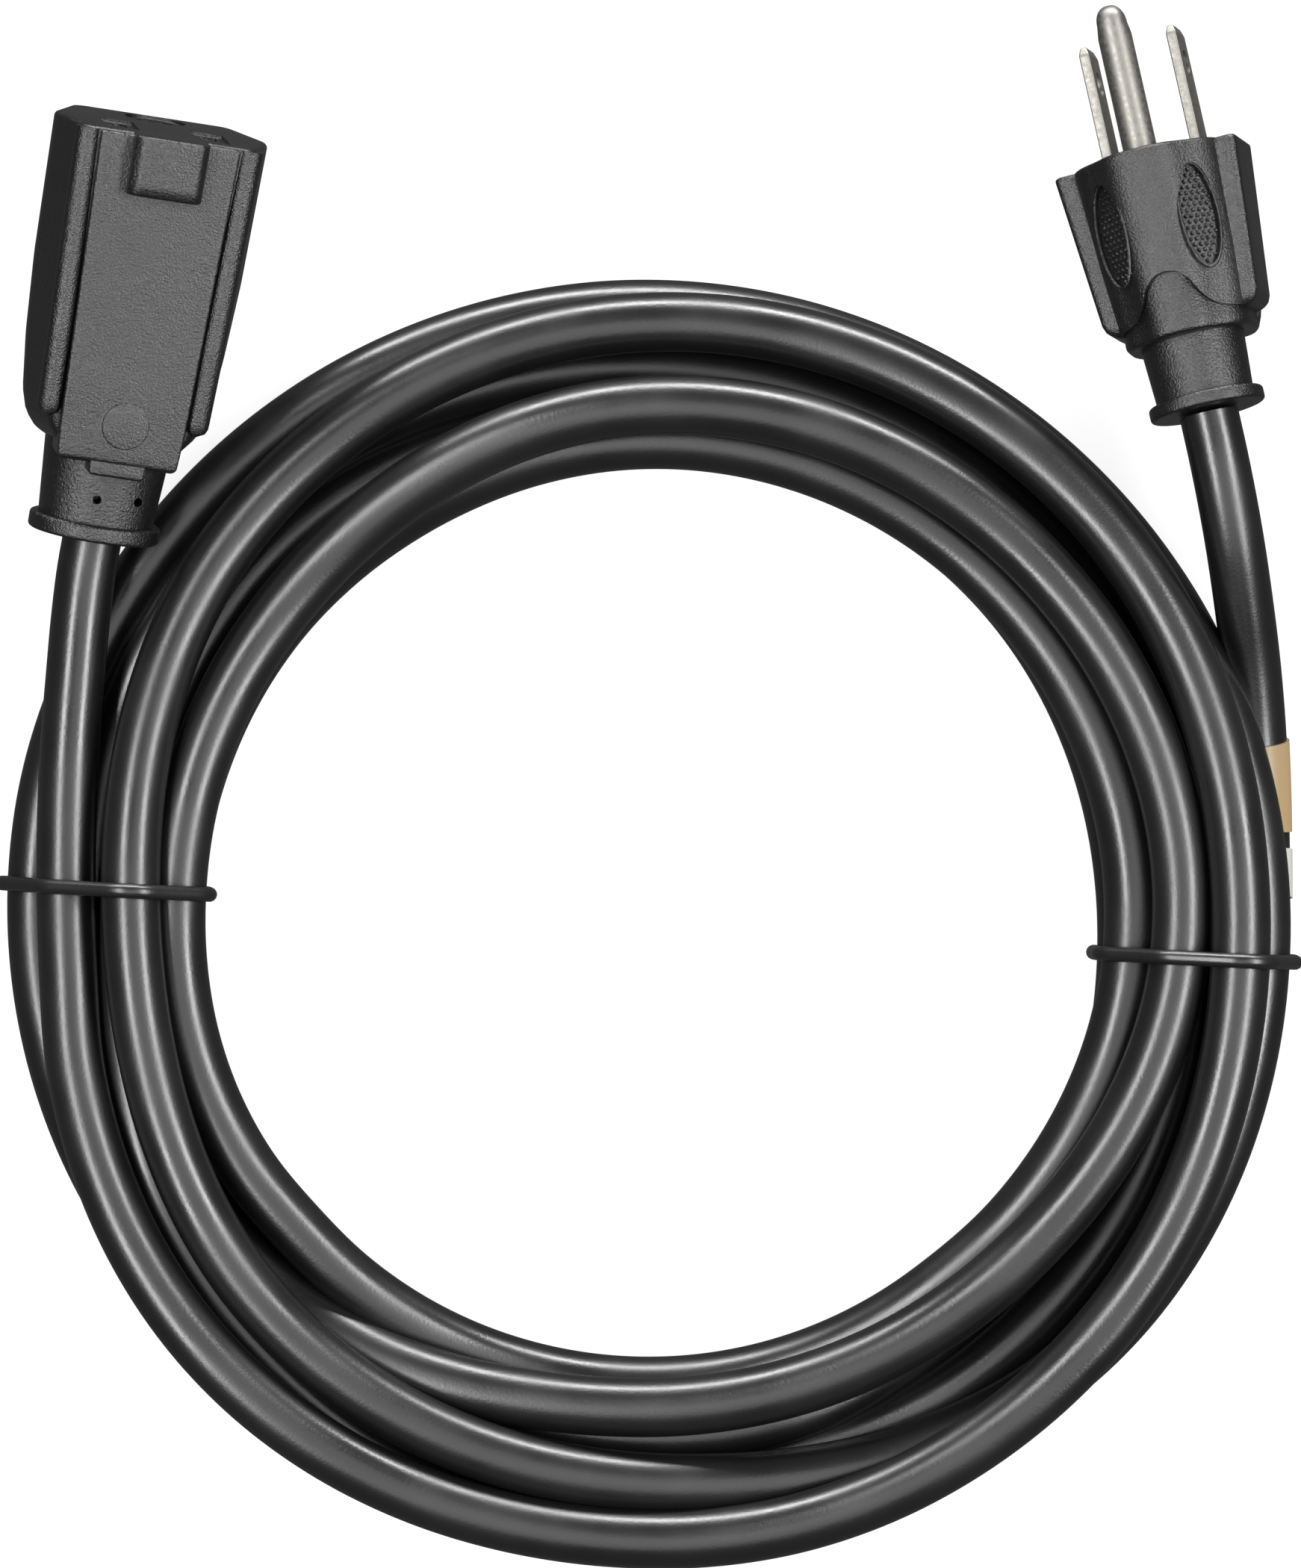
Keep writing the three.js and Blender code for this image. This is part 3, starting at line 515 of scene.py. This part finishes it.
def cut_away(body, *tools):
    """The body without the space of each tool, by Blender's exact boolean; both are closed shells."""
    made = []
    for points, faces in (body, *tools):
        mesh = bpy.data.meshes.new("blank")
        mesh.from_pydata(points.tolist(), [], faces)
        turned_out(mesh)
        made.append(bpy.data.objects.new("blank", mesh))
        bpy.context.scene.collection.objects.link(made[-1])
    for tool in made[1:]:
        step = made[0].modifiers.new("cut", "BOOLEAN")
        step.operation = "DIFFERENCE"
        step.solver = "EXACT"
        step.object = tool
    shaped = made[0].evaluated_get(bpy.context.evaluated_depsgraph_get()).to_mesh()
    places = np.empty(len(shaped.vertices) * 3)
    shaped.vertices.foreach_get("co", places)
    faces = [list(face.vertices) for face in shaped.polygons]
    made[0].to_mesh_clear()
    for piece in made:
        bpy.data.meshes.remove(piece.data)
    return places.reshape(-1, 3), faces


def placed(shape, at):
    """Turns a shape about its length (roll), nose (pitch) and the upright (lean), then sets it in place."""
    pitch, roll, lean = (math.radians(at[key]) for key in ("pitch", "roll", "lean"))
    cp, sp, cr, sr, cl, sl = (f(a) for a in (pitch, roll, lean) for f in (math.cos, math.sin))
    about_x = np.array([[1, 0, 0], [0, cp, -sp], [0, sp, cp]])
    about_y = np.array([[cr, 0, sr], [0, 1, 0], [-sr, 0, cr]])
    about_z = np.array([[cl, -sl, 0], [sl, cl, 0], [0, 0, 1]])
    points, faces = shape
    return points @ (about_z @ about_x @ about_y).T + np.array(at["place"]) + COIL_CENTRE, faces


# %% [markdown]
# ## Connector
#
# The connector is a block of PVC moulded round three contacts. Its top has a raised grained panel between two
# rounded beads, and a block at the mating face that tells which way round it goes. The neck behind it is
# bored with two small holes, left by the pins that held the cord in the mould, and it ends in a collar.
# Sizes are in mm: y runs from the collar, at 0, to the mating face, x to the side and z out of the panel.
# In the lists of pairs, the first number is y and the second the share of the section's width or height.

# %% Connector body
CONNECTOR_AT = {"place": [-77.5, 54.4, 13.0], "lean": -10, "pitch": 9, "roll": 11}
CONNECTOR_LENGTH = 58
CONNECTOR_HALF = 15.05
BLADE_SPACING = 12.7

outline = [(-11.2, 11.3), (11.2, 11.3), (12.2, 10.4), (15.05, 0.9), (15.05, -0.9), (11.4, -11.2), (10.4, -12)]
outline += [(-10.4, -12), (-11.4, -11.2), (-15.05, -0.9), (-15.05, 0.9), (-12.2, 10.4)]
widths = [(13, 9.3), (14.4, 11.0), (16, 12.2), (19, 13.1), (27, 14.0), (38, 14.65), (58, 15.05)]
widths = [(y, half / CONNECTOR_HALF) for y, half in widths]
depths = [(13, 0.78), (16, 0.86), (22, 0.92), (58, 1.0)]

body = shell(loft(rounded(outline, 1.1), 13, CONNECTOR_LENGTH, widths, depths, 1.2, 0.7, rows=40))


def box_ring(half_width, half_height, corner):
    """A rounded box as a section."""
    corners = [(-half_width, -half_height), (half_width, -half_height), (half_width, half_height)]
    return rounded([*corners, (-half_width, half_height)], corner)


def face_pocket(section, x, z, depth):
    """A pocket of that section, from the mating face inwards."""
    start, end = CONNECTOR_LENGTH - depth, CONNECTOR_LENGTH + 1
    return shell(loft(section, start, end, round_start=0.1, round_end=0.1, centre=(x, z), rows=4))


SLOT_Z, GROUND_Z = 4.6, -7.3
SLOT_DEPTH, RECESS_DEPTH = 9, 0.45
face_cuts = [face_pocket(ellipse(4.3, 3.9, 40), 0, GROUND_Z, RECESS_DEPTH)]
face_cuts.append(face_pocket(ellipse(2.85, 2.85, 40), 0, GROUND_Z, SLOT_DEPTH))
for side in (-1, 1):
    face_cuts.append(face_pocket(box_ring(2.3, 4.7, 0.4), side * BLADE_SPACING / 2, SLOT_Z, RECESS_DEPTH))
    face_cuts.append(face_pocket(box_ring(1.2, 3.6, 0.3), side * BLADE_SPACING / 2, SLOT_Z, SLOT_DEPTH))
body = cut_away(body, *face_cuts)

panel_corners = rounded([(-1, 0), (1, 0), (1, 1), (-1, 1)], [0.01, 0.01, 0.07, 0.07], 6)
panel = loft(
    raised(panel_corners, -3.55, 3.55),
    11.6,
    CONNECTOR_LENGTH - 0.25,
    [(11.6, 8.4), (17, 8.75), (CONNECTOR_LENGTH, 9.85)],
    [(11.6, 0.9), (22, 0.985), (58, 1)],
    0.9,
    0.5,
    (0, 8.55),
    30,
)
beads = []
for side in (-1, 1):
    y = np.linspace(17.0, CONNECTOR_LENGTH - 0.3, 60)
    grown = np.minimum((y - 17) / 12, 1)
    path = np.stack([side * (10.35 + 1.1 * (y - 17) / 41), y, 9.4 + 0.75 * grown], axis=1)
    tip = np.minimum((y - y[0]) / 1.7, 1)
    radii = 1.75 * np.sqrt(np.clip(1 - (1 - tip) ** 2, 0.02, 1))
    beads.append(shell(sweep(path, radii, 24)))
boss_corners = [(-5.25, -3), (5.25, -3), (5.25, 2.4), (4.1, 3.6), (-4.1, 3.6), (-5.25, 2.4)]
boss_rise = [(49.6, 0.84), (50.9, 1), (58, 1)]
boss_end = CONNECTOR_LENGTH + 0.05
boss = loft(rounded(boss_corners, 0.6), 49.6, boss_end, None, boss_rise, 0.35, 0.4, (0, 11.6), 16)
tongue = loft(box_ring(4.0, 3.4, 0.5), 9.9, 14, [(9.9, 0.96), (14, 1.05)], None, 0.5, 0.2, (0.2, 8.15), 6)

# A disc that stands up from the panel: swapping y and z mirrors a loft, so its columns run the other way.
UPWARD = [0, 2, 1]
gate_mark = loft(ellipse(3.3, 3.3, 48), 0, 0.5, round_start=0.2, round_end=0.2, rows=3)
gate_mark = gate_mark[:, ::-1, UPWARD] + [0.3, 17.4, 11.6]
neck_widths = [(1, 8.0 / 8.95), (14, 1)]
neck = shell(loft(ellipse(8.95, 8.95 * 0.9), 1, 14, neck_widths, neck_widths, 0.2, 0.2, rows=16))
pin_hole = loft(ellipse(0.62, 0.62, 20), 1, 12, round_start=0.1, round_end=0.1, rows=3)[..., UPWARD]
neck = cut_away(neck, *[shell(pin_hole + [x, y, 0]) for x, y in ((-1.3, 6.0), (4.6, 6.3))])
collar = loft(ellipse(9.25, 9.25 * 0.9, 72), 0, 2.4, None, None, 0.55, 0.55, rows=4)
shape = joined(body, shell(panel), shell(gate_mark), *beads, shell(boss), shell(tongue), neck, shell(collar))
connector = add_piece("connector_body", placed(shape, CONNECTOR_AT), MOULDED_PVC, smooth_angle=32)
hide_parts("connector_overmould")

# %% [markdown]
# ## Plug
#
# The plug is the connector's smaller partner, moulded round the two blades and the round ground pin. It has a
# ridge down the middle, a fin on each side to pull it by, and an oval grip with raised dots beside the ridge.
# It is drawn as the connector is, with y from the collar to the face that the blades stand on.

# %% Plug body
PLUG_AT = {"place": [77.9, 71.4, 18.12], "lean": 12.3, "pitch": -8, "roll": -12.5}
PLUG_LENGTH = 36.5

ridge = [(0, 12.6), (3.9, 12.1), (6.6, 9.4), (9.4, 7.4), (11, 4), (11.4, -5), (9.4, -11.4)]
outline = ridge + [(-x, z) for x, z in ridge[:0:-1]]
depths = [(10.6, 0.79), (14, 0.8), (22, 0.87), (36.5, 1)]
widths = [(10.6, 0.8), (12.2, 0.86), (14.5, 0.9), (22, 0.95), (36.5, 1)]
body = shell(loft(rounded(outline, 2.2, 6), 10.6, PLUG_LENGTH, widths, depths, 0.5, 0.7, rows=30))

# The thumb step: an arch is cut out of the top near the neck, and a smaller core shows inside it.
arch_half = [(0, 19.0), (1.7, 18.6), (3.2, 17.2), (4.3, 14.9), (5.6, 13.5), (7.6, 12.8), (13, 12.4)]
arch = [(-x, y) for x, y in arch_half[:0:-1]] + arch_half + [(13, 8), (-13, 8)]
arch_tool = loft(rounded(arch, 0.6), -3, 20, round_start=0.1, round_end=0.1, rows=3)[..., UPWARD]
core_shares = [(10.2, 0.93), (14, 0.93), (20, 0.94)]
core_wide = [(y, 0.88 * w) for y, w in core_shares]
core_deep = [(y, 0.8 * w) for y, w in core_shares]
core = shell(loft(rounded(outline, 2.6, 6), 10.2, 22, core_wide, core_deep, 0.8, 0.3, rows=10))

# The grips: an oval pocket in each flank, a thin raised rim round it and rows of dots on its floor.
GRIP_HALF = np.array([2.95, 7.4])
GRIP_X, GRIP_Y = 6.4, 25.8
FLANK = math.radians(40)
FLANK_RISE = 10.85
POCKET = 0.8
RIM_RADIUS = 0.24
DOT_PITCH = np.array([0.95, 0.82])
DOT_SIZES = np.array([0.34, 0.3, 0.14])[:, None]
DOT_LEVELS = np.array([-POCKET - 0.1, -POCKET + 0.12, -POCKET + 0.34])[:, None]
LENGTHWISE = np.array([0, 1.0, 0])


def on_flank(flank, u, v, rise):
    """Point = middle + u * across + v * lengthwise + rise * outward, on the plane of a flank."""
    middle, across, outward = flank
    u, v, rise = (part[..., None] for part in np.broadcast_arrays(u, v, rise))
    return middle + u * across + v * LENGTHWISE + rise * outward


ring = ellipse(*GRIP_HALF, 64)
small_ring = ellipse(1, 1, 8)
rows_v, columns_u = np.meshgrid(np.arange(-9, 10), np.arange(-4, 5), indexing="ij")
dots_u = (columns_u + 0.5 * (rows_v % 2)) * DOT_PITCH[0]
dots_v = rows_v * DOT_PITCH[1]
inside = (dots_u / (GRIP_HALF[0] - 0.4)) ** 2 + (dots_v / (GRIP_HALF[1] - 0.4)) ** 2 < 1
tools, grips = [shell(arch_tool)], []
for side in (-1, 1):
    outward = np.array([side * math.sin(FLANK), 0, math.cos(FLANK)])
    across = np.array([side * math.cos(FLANK), 0, -math.sin(FLANK)])
    middle = np.array([side * GRIP_X, GRIP_Y, 0])
    middle = middle + outward * (FLANK_RISE - middle @ outward)
    middle = middle + across * (side * GRIP_X - middle[0]) / across[0]
    flank = (middle, across, outward)
    tools.append(shell(on_flank(flank, ring[:, 0], ring[:, 1], np.array([-POCKET, 3.0])[:, None])))
    rim_line = on_flank(flank, ring[:, 0] * 1.03, ring[:, 1] * 1.01, -0.1)
    grips.append(shell(ring_tube(rim_line, RIM_RADIUS, 8, outward), True))
    for u, v in zip(dots_u[inside], dots_v[inside]):
        circles = DOT_SIZES[..., None] * small_ring
        grips.append(shell(on_flank(flank, u + circles[..., 0], v + circles[..., 1], DOT_LEVELS)))
body = cut_away(body, *tools)
fins = []
for side in (-1, 1):
    fin = rounded([(-1.8, -6.15), (1.8, -6.15), (1.8, 6.15), (-1.8, 6.15)], 1.1)
    grow = [(12.4, 0.72), (14, 0.83), (36.5, 1)]
    grid = loft(fin, 12.4, PLUG_LENGTH - 0.2, [(12.4, 1.0), (36.5, 1.0)], grow, 1.2, 0.6, (0, -0.25), 24)
    grid[..., 0] += side * 11.4 * np.interp(grid[..., 1], *np.transpose(grow))
    fins.append(shell(grid))
neck_widths = [(1, 6.8 / 7.4), (11.5, 1)]
neck = loft(ellipse(7.4, 7.4 * 0.92), 1, 13, neck_widths, neck_widths, 0.2, 0.2, rows=16)
collar = loft(ellipse(8.15, 8.15 * 0.92, 72), 0, 2.0, None, None, 0.5, 0.5, rows=4)
shape = joined(body, core, *fins, *grips, shell(neck), shell(collar))
plug = add_piece("plug_body", placed(shape, PLUG_AT), MOULDED_PVC, smooth_angle=32)
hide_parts("plug_overmould")

# %% [markdown]
# ## Blades and ground pin
#
# The blades are cut from brass strip, with their edges broken and a round hole near the tip, and plated. The
# pin is a rolled and rounded rod with a small flat pressed into each side of its tip. Plating takes a soft
# shine from the barrel that it is tumbled in.


# %% Metals
def metal(name, colour, roughness, grain_mm, grain_depth):
    """Principled metal: one noise of the grain's real size drives both the roughness and the bump."""
    material = bpy.data.materials.new(name)
    material.use_nodes = True
    shader = material.node_tree.nodes["Principled BSDF"]
    shader.inputs["Base Color"].default_value = srgb(colour)
    shader.inputs["Metallic"].default_value = 1.0
    place = add_node(material, "ShaderNodeTexCoord")
    grain = add_node(
        material,
        "ShaderNodeTexNoise",
        inputs={"Scale": 1 / (grain_mm * MM), "Detail": 3.0},
        links={"Vector": place.outputs["Object"]},
    )
    spread = add_node(
        material,
        "ShaderNodeMapRange",
        inputs={"From Min": 0.3, "From Max": 0.7, "To Min": roughness - 0.07, "To Max": roughness + 0.07},
        links={"Value": grain.outputs["Fac"]},
    )
    bump = add_node(
        material,
        "ShaderNodeBump",
        inputs={"Strength": 1.0, "Distance": grain_depth * MM},
        links={"Height": grain.outputs["Fac"]},
    )
    links = material.node_tree.links
    links.new(spread.outputs["Result"], shader.inputs["Roughness"])
    links.new(bump.outputs["Normal"], shader.inputs["Normal"])
    return material


NICKEL = metal("tumbled_nickel_plate", "787671", 0.5, 0.6, 0.002)

# %% Blades and pin
PLUG_BLADE_Z, GROUND_PIN_Z = -4.5, 7.4
BLADE_LENGTH, PIN_LENGTH, PIN_RADIUS = 18.2, 21.2, 2.38
for name, side in (("plug_line_blade", -1), ("plug_neutral_blade", 1)):
    tip = PLUG_LENGTH + BLADE_LENGTH
    taper = [(PLUG_LENGTH - 4, 1), (tip - 1.1, 1), (tip, 0.55)]
    narrow = [(PLUG_LENGTH - 4, 1), (tip - 1.2, 1), (tip, 0.82)]
    at = (side * BLADE_SPACING / 2, PLUG_BLADE_Z)
    grid = loft(box_ring(0.75, 3.175, 0.22), PLUG_LENGTH - 4, tip, taper, narrow, 0.1, 0.12, at, 60)
    hole = ellipse(1.75, 1.75, 40) + [tip - 5.2, PLUG_BLADE_Z]
    drill = np.stack([np.insert(hole, 0, at[0] + x, axis=1) for x in (-3.0, 3.0)])
    blade = placed(cut_away(shell(grid), shell(drill)), PLUG_AT)
    prong = add_piece(name + "_plated", blade, NICKEL, smooth_angle=30)
    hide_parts(name)

# The pin: a straight rod, a dome at its tip, and a flat that fades in on each side before the dome.
end = PLUG_LENGTH + PIN_LENGTH
DOME_LENGTH, FLAT_START, FLAT_FADE, FLAT_DEPTH = 2.6, 4.2, 1.6, 0.16
dome = np.linspace(0, np.pi / 2, 14)
rod_y = np.linspace(PLUG_LENGTH - 4, end - DOME_LENGTH - 0.3, 30)
y = np.concatenate([rod_y, end - DOME_LENGTH + DOME_LENGTH * np.sin(dome)])
radius = np.concatenate([np.full(30, PIN_RADIUS), PIN_RADIUS * np.maximum(np.cos(dome), 0.03) ** 0.8])
turned = np.arange(48) / 48 * 2 * np.pi
from_right = np.abs(np.angle(np.exp(1j * turned)))
from_side = np.minimum(from_right, np.pi - from_right)
fade = np.clip((y - (end - FLAT_START)) / FLAT_FADE, 0, 1)[:, None]
flat = fade * np.exp(-((from_side / 0.5) ** 2))[None, :]
reach_out = radius[:, None] * (1 - FLAT_DEPTH * flat)
pin_x, pin_z = reach_out * np.cos(turned), GROUND_PIN_Z + reach_out * np.sin(turned)
grid = np.stack([pin_x, np.broadcast_to(y[:, None], reach_out.shape), pin_z], axis=2)
prong = add_piece("plug_ground_pin_plated", placed(shell(grid), PLUG_AT), NICKEL, smooth_angle=40)
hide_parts("plug_ground_pin")

# %% [markdown]
# ## Labels on the cord
#
# A tan film is wound round the cord near the plug and a narrow white one beside it. Both are left blank. Each
# is a tube along the cord's own line, a film's thickness proud of the jacket. Its ends are told in mm from
# the plug's collar.

# %% Labels
LABEL_PVC = plastic("tan_vinyl_label_film", "7A674A", 0.42, 1.2, 0.02, ior=1.46)
TAG_PVC = plastic("white_vinyl_tag_film", "8E8D89", 0.38, 1.2, 0.02, ior=1.46)
LABEL_THICK, LABEL_STEP, LABEL_COLUMNS = 0.35, 0.4, 48
from_plug = resampled(centreline[:-80:-1], LABEL_STEP)
distance = np.arange(len(from_plug)) * LABEL_STEP
for name, node, slot, film, (low, high) in (
    ("tan_label_wrap", "cord_label_sleeve", "tan_label", LABEL_PVC, (48.2, 61.2)),
    ("white_tag_wrap", "cord_flag_tag", "white_label", TAG_PVC, (63.4, 70.6)),
):
    piece_line = from_plug[(distance >= low) & (distance <= high)]
    around = np.full(len(piece_line), CORD_DIAMETER / 2 + LABEL_THICK)
    label = add_piece(name, shell(sweep(piece_line, around, LABEL_COLUMNS) + COIL_CENTRE), film)
    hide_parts(node)

# %% [markdown]
# ## Metal, copper and insulation
#
# These pieces are the CAD's own, because their shapes are right. Only their surface is new.


# %% Finishes of the inner pieces
BRASS = metal("stamped_brass", "D2A95A", 0.32, 0.5, 0.006)
COPPER = metal("drawn_copper_strand", "C77C54", 0.34, 0.3, 0.02)
NYLON = plastic("natural_nylon", "BDB7A6", 0.5, 0.6, 0.02, ior=1.53)
BLACK_CORE = plastic("black_core_insulation", "161616", 0.4, 0.5, 0.02, ior=1.54)
WHITE_CORE = plastic("white_core_insulation", "E4E1D8", 0.4, 0.5, 0.02, ior=1.54)
GREEN_CORE = plastic("green_core_insulation", "2B7439", 0.4, 0.5, 0.02, ior=1.54)
FINISHES = {
    "contact": BRASS,
    "copper": COPPER,
    "carrier": NYLON,
    "bridge": NYLON,
    "line_core": BLACK_CORE,
    "neutral_core": WHITE_CORE,
    "ground_core": GREEN_CORE,
    "jacket_end": JACKET_PVC,
}
refinished = 0
for node_name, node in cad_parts.items():
    finish = next((FINISHES[end] for end in FINISHES if node_name.endswith(end)), None)
    if finish:
        for place in node.material_slots:
            place.material = finish
        refinished += 1
print("CAD pieces with a new surface:", refinished)

# %% [markdown]
# ## The plug's inner pieces
#
# The cord leaves the connector's collar and ends in the plug. The plug, its blades and pin, the ties and
# the labels ride on the cord, and the connector is the object that the cord leaves. The code below only
# lists the plug's inner CAD pieces by name, and nothing in the script uses that list.

PLUG_INSIDE = ["plug_inner_bridge", "plug_jacket_end"]
for wire in ("line", "neutral", "ground"):
    PLUG_INSIDE += [f"plug_{wire}_core", f"plug_{wire}_copper"]

# %% [markdown]
# ## Floor and light
#
# A white sweep lies under the cord. Two long soft boxes stand left and right, one beyond the plugs, low, and
# a broad one hangs overhead. On black plastic nothing but their reflections shows the form: the three long
# ones draw the bright lines along the cord, and the broad one fills its top between them.


# %% Floor
def matte_floor():
    """Acrylic that glows a little of its own, so that it stays white under dim lights."""
    material = bpy.data.materials.new("backlit_white_acrylic")
    material.use_nodes = True
    shader = material.node_tree.nodes["Principled BSDF"]
    shader.inputs["Base Color"].default_value = srgb("626262")
    shader.inputs["Roughness"].default_value = 0.9
    shader.inputs["Specular IOR Level"].default_value = 0.1
    shader.inputs["Emission Color"].default_value = (1, 1, 1, 1)
    shader.inputs["Emission Strength"].default_value = 0.84
    return material


# The sweep is a wide disc that bends up into a wall all round: a quarter circle between the two.
SWEEP_FLAT, SWEEP_BEND, SWEEP_WALL, SWEEP_SIDES = 4.0, 2.0, 4.0, 96  # metres
quarter = np.linspace(0, np.pi / 2, 12)
bend_out = SWEEP_FLAT + SWEEP_BEND * np.sin(quarter)
out_from_middle = np.concatenate([[0.5, 1.5], bend_out, [SWEEP_FLAT + SWEEP_BEND]])[:, None]
up = np.concatenate([[0, 0], SWEEP_BEND * (1 - np.cos(quarter)), [SWEEP_WALL]])
around = np.arange(SWEEP_SIDES) / SWEEP_SIDES * 2 * np.pi
height = np.broadcast_to(up[:, None], (len(up), SWEEP_SIDES))
grid = np.stack([out_from_middle * np.cos(around), out_from_middle * np.sin(around), height], axis=2)
faces = grid_faces(len(up), SWEEP_SIDES).tolist() + [list(range(SWEEP_SIDES))[::-1]]
mesh = bpy.data.meshes.new("floor")
mesh.from_pydata(grid.reshape(-1, 3).tolist(), [], faces)
mesh.flip_normals()
mesh.polygons.foreach_set("use_smooth", [True] * len(mesh.polygons))
mesh.materials.append(matte_floor())
floor = bpy.data.objects.new("floor", mesh)
bpy.context.scene.collection.objects.link(floor)
floor.visible_glossy = False  # black cloths round a shoot keep the white table out of the reflections

# %% Lights
world = bpy.data.worlds.new("studio")
world.use_nodes = True
world.node_tree.nodes["Background"].inputs["Color"].default_value = (1, 1, 1, 1)
world.node_tree.nodes["Background"].inputs["Strength"].default_value = 0.12
bpy.context.scene.world = world
bpy.context.scene.view_settings.view_transform = "Standard"


def soft_box(name, angle_deg, toward, distance, width, length, power):
    """An area light aimed at the coil: angle from the upright, turned toward a compass angle in the floor."""
    light = bpy.data.lights.new(name, "AREA")
    light.shape = "RECTANGLE"
    light.size, light.size_y = width, length
    light.energy = power
    lamp = bpy.data.objects.new(name, light)
    bpy.context.scene.collection.objects.link(lamp)
    tilt, turn_to = math.radians(angle_deg), math.radians(toward)
    lamp.location = (
        aim_x + distance * math.sin(tilt) * math.cos(turn_to),
        aim_y + distance * math.sin(tilt) * math.sin(turn_to),
        distance * math.cos(tilt),
    )
    lamp.rotation_euler = (0, tilt, turn_to)
    return lamp


soft_box("left_strip", 30, 180, 2.4, 0.42, 2.6, 90)
soft_box("right_strip", 42, 0, 2.4, 0.5, 2.6, 98)
soft_box("far_strip", 80, 90, 1.9, 0.26, 2.4, 97)
soft_box("over_panel", 13, -50, 3.0, 2.3, 3.4, 47)
